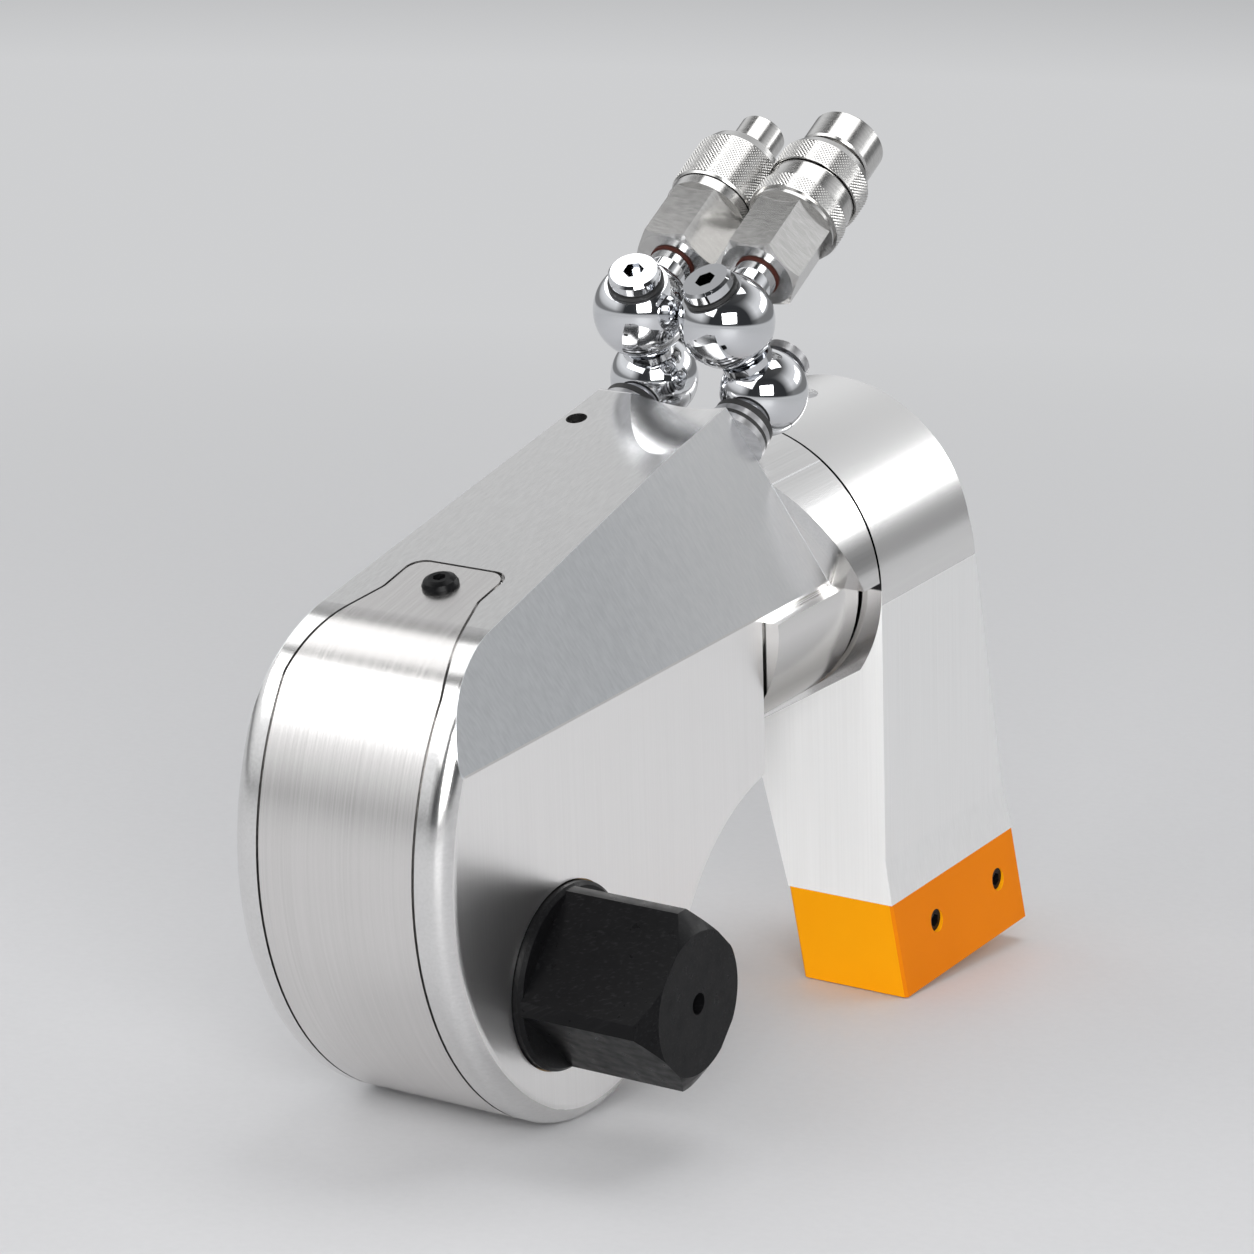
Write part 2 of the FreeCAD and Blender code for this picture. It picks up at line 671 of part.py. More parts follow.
def piston_rod():
    # rod with a screwed nose for the slotted end and a turned-down tail in the piston
    length = piston_front - rod_end_half
    rod = bar(cylinder_centre + y_axis * rod_end_half, y_axis, rod_radius, length)
    nose = bar(cylinder_centre + y_axis * (rod_end_half - 2.5), y_axis, 7.0, 4)
    tail = bar(cylinder_centre + y_axis * (piston_front - 1), y_axis, 7.0, piston_length + 9)
    return rod.fuse(nose).fuse(tail)


def piston_nut():
    start = cylinder_centre + y_axis * (piston_front + piston_length)
    return hexagon(19.0, start, y_axis, 6.0, z_axis).cut(bar(start - y_axis, y_axis, 7.0, 12))


def rod_end():
    # block with an upright slot for the lever's pin
    w = lever_gap - 1.0
    x0 = mid_x - w / 2.0
    solid = block(x0, x0 + w, -rod_end_half, rod_end_half, cylinder_height - 10, cylinder_height + 10)
    slot_r = lever_pin_radius + 0.12
    play = 2.0
    slot = bar(V(x0 - 1, 0, cylinder_height - play), x_axis, slot_r, w + 2)
    slot = slot.fuse(bar(V(x0 - 1, 0, cylinder_height), x_axis, slot_r, w + 2))
    slot = slot.fuse(block(x0 - 1, x0 + w + 1, -slot_r, slot_r, cylinder_height - play, cylinder_height))
    ends = edges_where(solid, lambda b: b.XLength > 1 and b.YMin < -rod_end_half + 0.1)
    solid = solid.makeFillet(3.0, ends)
    seat = bar(cylinder_centre + y_axis * (rod_end_half - 2.5), y_axis, 7.0, 4)
    return solid.cut(slot).cut(seat)


def rod_gland():
    start = cylinder_centre + y_axis * gland_front
    solid = tube(start, y_axis, bore_radius, rod_radius + running_fit, gland_length)
    seal_room = tube(start + y_axis * 12, y_axis, rod_radius + 3.5, rod_radius - 1, 5)
    ring_room = tube(start + y_axis * 4, y_axis, bore_radius + 1, bore_radius - 2.2, 3)
    return solid.cut(seal_room).cut(ring_room)


def rod_seal():
    return tube(cylinder_centre + y_axis * (gland_front + 12), y_axis, rod_radius + 3.5, rod_radius + 0.02, 5)


def gland_seal():
    return tube(cylinder_centre + y_axis * (gland_front + 4), y_axis, bore_radius, bore_radius - 2.2, 3)


def end_cap():
    # screwed plug in the rear of the bore, with two spanner holes
    start = cylinder_centre + y_axis * (spline_end - cap_length - 2)
    solid = bar(start, y_axis, bore_radius + 1.5, cap_length)
    skirt = bar(start - y_axis * 3, y_axis, bore_radius, 4)
    solid = solid.fuse(skirt)
    ring_room = tube(start - y_axis * 2.4, y_axis, bore_radius + 1, bore_radius - 2.0, 2.2)
    solid = solid.cut(ring_room)
    for a in (0, 180):
        r = math.radians(a)
        spot = cylinder_centre + x_axis * (16 * math.cos(r)) + z_axis * (16 * math.sin(r))
        solid = solid.cut(bar(spot + y_axis * (spline_end - 8), y_axis, 2.5, 20))
    return solid


def end_cap_seal():
    start = cylinder_centre + y_axis * (spline_end - cap_length - 4.4)
    return tube(start, y_axis, bore_radius, bore_radius - 2.0, 2.2)


retainer_front = far_x - free_gap


def retainer_cap():
    # round plate that holds the drive from the far side
    solid = revolved([(7.8, 0), (journal_radius - 1.5, 0), (journal_radius - 1.5, 2.4), (journal_radius - 3.0, 4.0),
                      (7.8, 4.0)], V(retainer_front, 0, 0), V(-1, 0, 0), y_axis)
    spigot = tube(V(retainer_front, 0, 0), x_axis, 12.0, 7.8, free_gap + 0.2)
    return solid.fuse(spigot)


def retainer_button():
    # sprung push button in the retainer
    solid = revolved([(0, -4.5), (7.4, -4.5), (7.4, 6.4), (6.4, 7.4), (0, 7.4)],
                     V(retainer_front, 0, 0), V(-1, 0, 0), y_axis)
    return solid.cut(bar(V(retainer_front, 0, 0), x_axis, 4.0, 10))


def retainer_spring():
    return disc_springs(V(far_x + 5.0 + 3.2, 0, 0), V(-1, 0, 0), 3.6, 1.8, 4.4, 4)


def swivel_post(side):
    # banjo bolt that stands on the slanted seat and carries a lower ball
    foot = swivel_foot(side)
    profile = [(0, -12), (post_shank_radius, -12), (post_shank_radius, 0), (9.4, 0), (9.4, 2.0), (8.0, 2.0),
               (8.0, 3.4), (9.0, 3.4), (9.0, 5.4), (7.6, 5.4), (7.6, 8.2), (post_radius, 8.2),
               (post_radius, 31.4), (7.2, 31.4), (7.2, 34.0), (6.4, 34.6), (0, 34.6)]
    solid = revolved(profile, foot, seat_normal, side_axis)
    return solid.cut(hexagon(5.2, foot + seat_normal * 27, seat_normal, 9, side_axis))


def swivel_posts():
    return Part.makeCompound([swivel_post(-1), swivel_post(1)])


def post_rings():
    # seal rings in the necks of the posts
    rings = []
    for side in (-1, 1):
        foot = swivel_foot(side)
        rings.append(tube(foot + seat_normal * 2.0, seat_normal, 9.2, 8.0, 1.4))
        rings.append(tube(foot + seat_normal * 5.4, seat_normal, 8.8, 7.6, 2.2))
    return Part.makeCompound(rings)


def lower_ball(side):
    # ball that turns on its post and carries the bolt of the upper ball
    centre = lower_centre(side)
    chain = chain_axis(side)
    solid = Part.makeSphere(lower_ball_radius)
    solid.Placement = frame_at(centre, seat_normal, side_axis)
    far = 40
    solid = solid.cut(bar(centre - seat_normal * (11.5 + far), seat_normal, far, far))
    solid = solid.cut(bar(centre + seat_normal * 11.2, seat_normal, far, far))
    solid = solid.cut(bar(centre + chain * 11.4, chain, far, far))
    solid = solid.cut(bar(centre - seat_normal * 20, seat_normal, post_radius + running_fit, 40))
    return solid.cut(bar(centre + chain * 6.5, chain, 4.0, 12))


def upper_bolt(side):
    # banjo bolt through the upper ball, screwed into the lower one
    centre = upper_centre(side)
    chain = chain_axis(side)
    low = -ball_pitch + 7.0
    seat = -12.4
    profile = [(0, low), (3.9, low), (3.9, -ball_pitch + 11.4), (7.4, -ball_pitch + 11.4), (7.4, seat - 0.3),
               (post_radius, seat - 0.3), (post_radius, 11.6), (7.3, 11.6), (7.3, 14.2), (6.6, 15.0), (0, 15.0)]
    solid = revolved(profile, centre, chain, seat_normal)
    return solid.cut(hexagon(5.2, centre + chain * 7.0, chain, 9, seat_normal))


def upper_ring(side):
    # snap ring under the head of the bolt
    centre = upper_centre(side)
    chain = chain_axis(side)
    return tube(centre + chain * 10.3, chain, 7.9, post_radius, 1.0)


def upper_ball(side):
    centre = upper_centre(side)
    chain = chain_axis(side)
    solid = Part.makeSphere(upper_ball_radius)
    solid.Placement = frame_at(centre, chain, seat_normal)
    far = 40
    solid = solid.cut(bar(centre + chain * 10.2, chain, far, far))
    solid = solid.cut(bar(centre - chain * (12.4 + far), chain, far, far))
    outline = [(0, 9), (6.2, 9), (6.2, 19.0), (4.6, 19.0), (4.6, 21.0), (0, 21.0)]
    neck = revolved(outline, centre, seat_normal, side_axis)
    solid = solid.fuse(neck)
    return solid.cut(bar(centre - chain * 20, chain, post_radius + running_fit, 40))


def coupler_body(side):
    # hexagon screwed on the ball's neck and the tube that the collar turns on
    centre = upper_centre(side)
    n = seat_normal
    hexa = hexagon(hex_across_flats, centre + n * 19.2, n, 21.6, side_axis)
    r = hex_across_flats / math.sqrt(3.0)
    f = hex_across_flats / 2.0
    trim = revolved([(0, 0), (f - 0.4, 0), (r + 0.4, 1.6), (r + 0.4, 20.4), (f - 0.2, 21.6), (0, 21.6)],
                    centre + n * 19.2, n, side_axis)
    hexa = hexa.common(trim)
    if side > 0:
        tube_part = revolved([(0, 40), (13.0, 40), (13.0, 41.6), (13.6, 41.6), (13.6, 47.4), (12.9, 47.4),
                              (12.9, 53.4), (8.9, 53.4), (8.9, 64.8), (7.4, 64.8), (7.4, 66.2), (0, 66.2)],
                             centre, n, side_axis)
    else:
        tube_part = revolved([(0, 40), (12.4, 40), (12.4, 43.4), (8.6, 43.4), (8.6, 64.2), (5.4, 64.2),
                              (5.4, 66.2), (0, 66.2)], centre, n, side_axis)
    solid = hexa.fuse(tube_part)
    return solid.cut(bar(centre + n * 15, n, 4.7, 7.0))


def coupler_collar(side):
    # knurled collar that turns to lock the coupler
    centre = upper_centre(side)
    n = seat_normal
    if side > 0:
        inner = 8.9 + running_fit
        return revolved([(inner, 53.8), (13.6, 53.8), (13.6, 61.6), (12.2, 64.4), (inner, 64.4)],
                        centre, n, side_axis)
    inner = 8.6 + running_fit
    solid = revolved([(inner, 43.8), (12.6, 43.8), (13.1, 44.4), (13.1, 60.4), (11.6, 63.8), (inner, 63.8)],
                     centre, n, side_axis)
    spot = centre + n * 57.5
    out = (side_axis * 0.55 - seat_up * 0.1).normalize()
    out = (V(0, -seat_normal.z, seat_normal.y) * 0.5 + side_axis).normalize()
    return solid.cut(bar(spot + out * 9, out, 1.4, 8))


def coupler_end(side):
    # plain end of the coupler
    centre = upper_centre(side)
    n = seat_normal
    if side > 0:
        solid = revolved([(0, 66.2), (7.4, 66.2), (7.4, 67.0), (10.4, 67.0), (10.9, 67.6), (10.9, 77.0),
                          (9.9, 78.0), (0, 78.0)], centre, n, side_axis)
    else:
        solid = revolved([(0, 66.2), (5.4, 66.2), (5.4, 67.0), (6.4, 67.0), (6.9, 67.5), (6.9, 76.0),
                          (6.2, 76.7), (0, 76.7)], centre, n, side_axis)
    return solid


arm_front = sleeve_end + 1.5


def arm_leg():
    # leg that hangs from the drive side of the ring and flares over the pad
    w = 33.6
    left = mid_x + 11.8
    right = arm_side
    points = [V(right, arm_front, cylinder_height), V(right, arm_front, -17.5),
              V(right + 1.9, arm_front, pad_top), V(left, arm_front, pad_top),
              V(left - 14.2, arm_front, 26), V(mid_x, arm_front, cylinder_height)]
    return Part.Face(Part.makePolygon(points + [points[0]])).extrude(V(0, 90, 0))


def reaction_arm():
    ring = bar(V(mid_x, arm_front, cylinder_height), y_axis, arm_ring_radius, 90)
    solid = ring.fuse(arm_leg()).removeSplitter()
    # rear: straight across the ring, leaning out down the leg
    slope = 0.2
    z1 = 72.0
    low = z1 - pad_top
    rear = [(arm_front - 5, 130), (arm_ring_rear, 130), (arm_ring_rear, z1), (arm_ring_rear + slope * low, pad_top),
            (arm_front - 5, pad_top)]
    solid = solid.common(prism_x(rear, -120, 60))
    tenon = block(mid_x + 18, 6.4, arm_front + 8, arm_front + 64, pad_top - 17, pad_top + 1)
    solid = solid.fuse(tenon)
    inner = toothed(spline_tip_radius + 0.25, spline_tip_radius - spline_depth + 0.25, spline_teeth,
                    V(mid_x, arm_front - 5, cylinder_height), y_axis, 80, z_axis, crest=0.45, foot=0.61)
    solid = solid.cut(inner)
    mouth = revolved([(0, -1), (spline_tip_radius + 1.8, -1), (spline_tip_radius + 0.25, 1.4), (0, 1.4)],
                     V(mid_x, arm_front, cylinder_height), y_axis, z_axis)
    solid = solid.cut(mouth)
    solid = solid.cut(bar(V(mid_x, lock_y, cylinder_height + 20), z_axis, lock_nose_radius + running_fit, 30))
    solid = solid.cut(bar(V(mid_x, lock_y, lock_seat), z_axis, lock_head_radius + 0.2, 20))
    for y in pad_screw_y:
        solid = solid.cut(bar(V(-6, y, pad_screw_z), x_axis, 2.5, 30))
    return solid


lock_y = 182.0
lock_nose_radius = 3.2
lock_head_radius = 5.2
lock_seat = cylinder_height + spline_tip_radius + 2.0
lock_floor = cylinder_height + spline_tip_radius - spline_depth
pad_screw_y = (173.3, 210.6)
pad_screw_z = -43.0


def lock_plunger():
    # nose rests in the groove on the spline
    solid = bar(V(mid_x, lock_y, lock_floor + 0.15), z_axis, lock_nose_radius, lock_seat - lock_floor)
    solid = solid.fuse(bar(V(mid_x, lock_y, lock_seat + 0.1), z_axis, lock_head_radius, 0.9))
    return solid


def lock_spring():
    low = lock_seat + 1.0
    return disc_springs(V(mid_x, lock_y, low), z_axis, 4.6, 2.4, 3.2, 4)


def lock_screw():
    # hollow screw over the spring
    low = lock_seat + 4.2
    solid = bar(V(mid_x, lock_y, low), z_axis, lock_head_radius + 0.2, 1.4)
    return solid.cut(hexagon(5.0, V(mid_x, lock_y, low - 1), z_axis, 4, x_axis))


def reaction_pad():
    # shoe over the arm's foot, leaning towards the drive side
    rear = arm_ring_rear + 0.2 * (72.0 - pad_top)
    left = mid_x + 11.8
    right = arm_side + 1.9
    lean = 4.7
    outline = [V(left, arm_front, pad_top), V(right, arm_front, pad_top), V(right + lean, arm_front, pad_bottom),
               V(left + lean, arm_front, pad_bottom), V(left, arm_front, pad_top)]
    solid = Part.Face(Part.makePolygon(outline)).extrude(V(0, rear - arm_front, 0))
    edges = edges_where(solid, lambda b: b.ZLength > 5)
    solid = solid.makeChamfer(0.8, edges)
    room = block(mid_x + 18 - 0.1, 6.5, arm_front + 7.9, arm_front + 64.1, pad_top - 17.1, pad_top + 5)
    solid = solid.cut(room)
    for y in pad_screw_y:
        solid = solid.cut(bar(V(3, y, pad_screw_z), x_axis, 3.4, 30))
    return solid


def pad_screws():
    screws = []
    for y in pad_screw_y:
        screw = bar(V(-5.5, y, pad_screw_z), x_axis, 2.4, 12.2).fuse(bar(V(6.6, y, pad_screw_z), x_axis, 3.3, 7.3))
        screws.append(screw.cut(hexagon(3.6, V(9.8, y, pad_screw_z), x_axis, 6, z_axis)))
    return Part.makeCompound(screws)


def red_ring(side):
    # seal ring on the neck of the ball under the hexagon
    centre = upper_centre(side)
    return tube(centre + seat_normal * 18.5, seat_normal, 6.6, 6.2, 0.7)


pieces = {
    "housing": housing,
    "nose_cover": nose_cover,
    "cover_screws": cover_screws,
    "drive_bushings": drive_bushings,
    "square_drive": square_drive,
    "ratchet_wheel": ratchet_wheel,
    "lever_plates": lever_plates,
    "lever_pin": lever_pin,
    "lever_bridge": lever_bridge,
    "lever_rivets": lever_rivets,
    "drive_pawl": drive_pawl,
    "drive_pawl_springs": drive_pawl_springs,
    "retaining_pawl": retaining_pawl,
    "retaining_pin": retaining_pin,
    "retaining_spring": retaining_spring,
    "piston": piston,
    "piston_seal": piston_seal,
    "piston_rod": piston_rod,
    "piston_nut": piston_nut,
    "rod_end": rod_end,
    "rod_gland": rod_gland,
    "rod_seal": rod_seal,
    "gland_seal": gland_seal,
    "end_cap": end_cap,
    "end_cap_seal": end_cap_seal,
    "retainer_cap": retainer_cap,
    "retainer_button": retainer_button,
    "retainer_spring": retainer_spring,
    "swivel_posts": swivel_posts,
    "post_rings": post_rings,
    "reaction_arm": reaction_arm,
    "lock_plunger": lock_plunger,
    "lock_spring": lock_spring,
    "lock_screw": lock_screw,
    "reaction_pad": reaction_pad,
    "pad_screws": pad_screws,
}
for name, make in pieces.items():
    export(make(), name)

paired = {
    "lower_ball": lower_ball,
    "upper_bolt": upper_bolt,
    "upper_ring": upper_ring,
    "upper_ball": upper_ball,
    "coupler_body": coupler_body,
    "coupler_collar": coupler_collar,
    "coupler_end": coupler_end,
    "neck_ring": red_ring,
}
for name, make in paired.items():
    for label, side in (("advance", 1), ("retract", -1)):
        export(make(side), name + "_" + label)
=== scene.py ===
# %% [markdown]
# Hydraulic torque wrench. A squat alloy body holds a short cylinder and a ratchet, and turns
# the black square drive. The orange-footed arm takes the reaction. Two hose couplers stand on
# chromed ball joints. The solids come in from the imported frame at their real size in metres,
# so this lesson is about finishes, one cut in the body, knurling, light and the camera.

# %% Load the frame
import json
import math

import bmesh
import bpy
from mathutils import Matrix, Vector

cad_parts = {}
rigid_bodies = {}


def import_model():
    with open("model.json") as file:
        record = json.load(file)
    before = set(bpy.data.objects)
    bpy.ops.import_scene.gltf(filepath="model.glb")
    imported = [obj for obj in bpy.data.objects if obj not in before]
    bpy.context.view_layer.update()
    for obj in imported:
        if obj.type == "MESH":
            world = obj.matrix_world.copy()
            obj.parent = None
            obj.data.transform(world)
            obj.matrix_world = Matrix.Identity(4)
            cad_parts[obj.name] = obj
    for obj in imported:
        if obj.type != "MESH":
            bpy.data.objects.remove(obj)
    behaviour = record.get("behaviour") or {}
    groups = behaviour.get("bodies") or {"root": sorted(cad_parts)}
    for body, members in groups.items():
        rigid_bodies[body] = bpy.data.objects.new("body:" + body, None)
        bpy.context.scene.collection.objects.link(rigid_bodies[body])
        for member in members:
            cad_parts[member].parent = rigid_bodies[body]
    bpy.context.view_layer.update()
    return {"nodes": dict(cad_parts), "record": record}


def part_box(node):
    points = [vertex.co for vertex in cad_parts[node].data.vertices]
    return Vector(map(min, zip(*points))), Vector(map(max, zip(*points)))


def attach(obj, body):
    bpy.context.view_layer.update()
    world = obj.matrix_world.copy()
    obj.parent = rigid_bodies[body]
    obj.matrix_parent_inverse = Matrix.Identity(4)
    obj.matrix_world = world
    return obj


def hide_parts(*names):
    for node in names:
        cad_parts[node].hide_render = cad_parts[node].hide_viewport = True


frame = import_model()
nodes = frame["nodes"]
body_of_node = {}
for body_name, members in frame["record"]["behaviour"]["bodies"].items():
    for member in members:
        body_of_node[member] = body_name

# %% [markdown]
# Every finish starts from one Principled BSDF. A small helper makes the material, and a second
# one adds a stretched noise: noise squeezed in two directions and long in the third looks like
# the lines that an abrasive belt leaves in metal.

# %% Material helpers
def new_finish(name, colour, roughness, metallic=1.0):
    mat = bpy.data.materials.new(name)
    mat.use_nodes = True
    shader = mat.node_tree.nodes["Principled BSDF"]
    shader.inputs["Base Color"].default_value = (*colour, 1.0)
    shader.inputs["Roughness"].default_value = roughness
    shader.inputs["Metallic"].default_value = metallic
    mat.diffuse_color = (*colour, 1.0)
    return mat, mat.node_tree, shader


def node(tree, kind, **values):
    made = tree.nodes.new(kind)
    for key, value in values.items():
        setattr(made, key, value)
    return made


def grain(tree, turn, squeeze, scale, detail=2.0):
    # noise on Object coordinates, turned to the belt's direction and drawn out along X
    place = node(tree, "ShaderNodeTexCoord")
    lay = node(tree, "ShaderNodeMapping")
    lay.inputs["Rotation"].default_value = turn
    stretch = node(tree, "ShaderNodeMapping")
    stretch.inputs["Scale"].default_value = squeeze
    noise = node(tree, "ShaderNodeTexNoise")
    noise.inputs["Scale"].default_value = scale
    noise.inputs["Detail"].default_value = detail
    tree.links.new(place.outputs["Object"], lay.inputs["Vector"])
    tree.links.new(lay.outputs["Vector"], stretch.inputs["Vector"])
    tree.links.new(stretch.outputs["Vector"], noise.inputs["Vector"])
    return noise.outputs["Fac"]


def spread(tree, value, low, high, start=0.3, stop=0.7):
    # maps a 0 to 1 pattern to a range
    ramp = node(tree, "ShaderNodeMapRange")
    ramp.inputs["From Min"].default_value = start
    ramp.inputs["From Max"].default_value = stop
    ramp.inputs["To Min"].default_value = low
    ramp.inputs["To Max"].default_value = high
    tree.links.new(value, ramp.inputs["Value"])
    return ramp.outputs["Result"]


def blend(tree, factor, dark, light):
    # colour between two, by a pattern or by another colour's socket
    mix = node(tree, "ShaderNodeMix", data_type="RGBA")
    for socket, colour in ((mix.inputs[6], dark), (mix.inputs[7], light)):
        if isinstance(colour, tuple):
            socket.default_value = (*colour, 1.0)
        else:
            tree.links.new(colour, socket)
    tree.links.new(factor, mix.inputs[0])
    return mix.outputs[2]


def relief(tree, shader, value, depth, strength=1.0):
    bump = node(tree, "ShaderNodeBump")
    bump.inputs["Distance"].default_value = depth
    bump.inputs["Strength"].default_value = strength
    tree.links.new(value, bump.inputs["Height"])
    tree.links.new(bump.outputs["Normal"], shader.inputs["Normal"])


# %% [markdown]
# A brushed metal has three things at once: lines of slightly different brightness, lines of
# slightly different gloss, and a very shallow relief. All three read the same stretched noise.

# %% Brushed metal
def brushed(name, dark, light, gloss, turn, squeeze, depth):
    mat, tree, shader = new_finish(name, light, gloss[0])
    lines = grain(tree, turn, squeeze, 1.0, 3.0)
    tree.links.new(blend(tree, spread(tree, lines, 0.0, 1.0), dark, light), shader.inputs["Base Color"])
    tree.links.new(spread(tree, lines, gloss[0], gloss[1]), shader.inputs["Roughness"])
    relief(tree, shader, lines, depth, 0.5)
    return mat


straight = (0, 0, 0)
along_seat = (1.081, 0, 0)
cover_finish = brushed("brushed_cover", (0.70, 0.685, 0.675), (0.77, 0.755, 0.745), (0.23, 0.27),
                       straight, (2300, 14, 14), 0.0000025)
nickel_finish = brushed("satin_nickel", (0.50, 0.495, 0.485), (0.57, 0.565, 0.555), (0.17, 0.23),
                        along_seat, (300, 300, 1600), 0.000002)
knurl_finish = brushed("knurled_nickel", (0.46, 0.455, 0.445), (0.54, 0.535, 0.525), (0.34, 0.42),
                       along_seat, (300, 300, 1600), 0.000002)
inner_finish = brushed("machined_steel", (0.42, 0.42, 0.43), (0.56, 0.56, 0.57), (0.3, 0.42),
                       straight, (200, 600, 600), 0.000005)
bronze_finish = brushed("plain_bearing", (0.42, 0.27, 0.12), (0.55, 0.37, 0.18), (0.3, 0.42),
                        straight, (400, 400, 400), 0.000005)
print("brushed finishes ready")

# %% [markdown]
# The body is one solid with four finishes: satin side faces, slanted facets brushed on the
# diagonal, a cross-brushed top and polished round edges. The faces are flat, so each one can be
# picked out by its plane: a point on the facet gives the same number when its position is
# multiplied by the facet's direction. The barrel behind the block is round, so it is picked out
# by its distance from the cylinder's axis. Its tone darkens downward as painted shade, and the
# facet's tone gets paler to the rear as painted light. The end face of the sleeve is painted
# nearly black as painted shade in the gap before the arm.

# %% Body finish
def plane_mask(tree, direction, reach, near=0.00015):
    # 1 on the plane, 0 away from it
    place = node(tree, "ShaderNodeTexCoord")
    dot = node(tree, "ShaderNodeVectorMath", operation="DOT_PRODUCT")
    dot.inputs[1].default_value = direction
    tree.links.new(place.outputs["Object"], dot.inputs[0])
    test = node(tree, "ShaderNodeMath", operation="COMPARE")
    test.inputs[1].default_value = reach
    test.inputs[2].default_value = near
    tree.links.new(dot.outputs["Value"], test.inputs[0])
    return test.outputs["Value"]


def round_mask(tree, centre, radius, near=0.0002):
    # 1 on a round face about an axis along Y, 0 away from it
    place = node(tree, "ShaderNodeTexCoord")
    centred = node(tree, "ShaderNodeVectorMath", operation="SUBTRACT")
    centred.inputs[1].default_value = centre
    flat = node(tree, "ShaderNodeVectorMath", operation="MULTIPLY")
    flat.inputs[1].default_value = (1, 0, 1)
    from_axis = node(tree, "ShaderNodeVectorMath", operation="LENGTH")
    test = node(tree, "ShaderNodeMath", operation="COMPARE")
    test.inputs[1].default_value = radius
    test.inputs[2].default_value = near
    tree.links.new(place.outputs["Object"], centred.inputs[0])
    tree.links.new(centred.outputs[0], flat.inputs[0])
    tree.links.new(flat.outputs[0], from_axis.inputs[0])
    tree.links.new(from_axis.outputs["Value"], test.inputs[0])
    return test.outputs["Value"]


def rising(tree, low, high, along="Z"):
    # 0 before the first place and 1 past the second, or the other way round if the first is larger
    place = node(tree, "ShaderNodeTexCoord")
    split = node(tree, "ShaderNodeSeparateXYZ")
    tree.links.new(place.outputs["Object"], split.inputs[0])
    return spread(tree, split.outputs[along], 0.0, 1.0, low, high)


def both(tree, first, second):
    joined = node(tree, "ShaderNodeMath", operation="MULTIPLY")
    tree.links.new(first, joined.inputs[0])
    tree.links.new(second, joined.inputs[1])
    return joined.outputs["Value"]


def either(tree, first, second):
    larger = node(tree, "ShaderNodeMath", operation="MAXIMUM")
    tree.links.new(first, larger.inputs[0])
    tree.links.new(second, larger.inputs[1])
    return larger.outputs["Value"]


width = 0.0676
axis_height = 0.064
axis_point = (-width / 2, 0.0, axis_height)
block_end = (0.1031, 0.1034)
ledge_top = (0.0668, 0.0670)
sleeve_end = 0.149
facet_lean = math.radians(13.5)
facet_base = 0.0687
right_facet = (math.cos(facet_lean), 0.0, math.sin(facet_lean))
left_facet = (-math.cos(facet_lean), 0.0, math.sin(facet_lean))
facet_reach = facet_base * math.sin(facet_lean)
left_reach = width * math.cos(facet_lean) + facet_reach

body_finish, tree, shader = new_finish("body_alloy", (0.8, 0.8, 0.8), 0.2)
diagonal = grain(tree, (-0.468, 0, 0), (1200, 1300, 9), 1.0, 2.0)
upright = grain(tree, (0, 0, 0), (1500, 1900, 14), 1.0, 3.0)
across = grain(tree, (0, 0, 0), (1300, 14, 1300), 1.0, 3.0)
ahead_of_barrel = rising(tree, block_end[1], block_end[0], "Y")
above_ledge = rising(tree, ledge_top[0], ledge_top[1])
on_side = either(tree, plane_mask(tree, (1, 0, 0), 0.0), plane_mask(tree, (-1, 0, 0), width))
on_side = both(tree, on_side, ahead_of_barrel)
on_facet = either(tree, plane_mask(tree, right_facet, facet_reach), plane_mask(tree, left_facet, left_reach))
on_facet = both(tree, on_facet, above_ledge)
edge_tone = blend(tree, spread(tree, across, 0, 1), (0.72, 0.715, 0.71), (0.785, 0.78, 0.775))
# painted light: the facet is painted darker at the front and paler at the rear
facet_front_painted_shade = blend(tree, spread(tree, diagonal, 0, 1), (0.77, 0.79, 0.81), (0.86, 0.88, 0.90))
facet_rear_painted_light = blend(tree, spread(tree, diagonal, 0, 1), (0.93, 0.94, 0.95), (0.99, 0.995, 1.0))
facet_painted_light = blend(tree, rising(tree, 0.03, 0.10, "Y"), facet_front_painted_shade, facet_rear_painted_light)
side_tone = blend(tree, spread(tree, upright, 0, 1), (0.92, 0.91, 0.90), (0.96, 0.95, 0.94))
behind_block = rising(tree, block_end[0], block_end[1], "Y")
on_barrel = both(tree, behind_block, round_mask(tree, axis_point, 0.0345, 0.005))
# painted shade: the barrel's colour darkens downward
barrel_painted_shade = blend(tree, rising(tree, 0.044, 0.062), (0.24, 0.23, 0.22), (0.78, 0.77, 0.76))
tone = blend(tree, on_barrel, edge_tone, barrel_painted_shade)
tone = blend(tree, on_facet, tone, facet_painted_light)
tone = blend(tree, on_side, tone, side_tone)
# painted shade: the sleeve's end face is painted nearly black, standing in for the gap's shade
tone = blend(tree, plane_mask(tree, (0, 1, 0), sleeve_end), tone, (0.03, 0.03, 0.03))
tree.links.new(tone, shader.inputs["Base Color"])
gloss = node(tree, "ShaderNodeMapRange")
gloss.inputs["To Min"].default_value = 0.18
gloss.inputs["To Max"].default_value = 0.3
tree.links.new(either(tree, on_side, on_facet), gloss.inputs["Value"])
tree.links.new(gloss.outputs["Result"], shader.inputs["Roughness"])
relief(tree, shader, blend(tree, on_facet, across, diagonal), 0.000004, 0.5)
print("body finish ready")
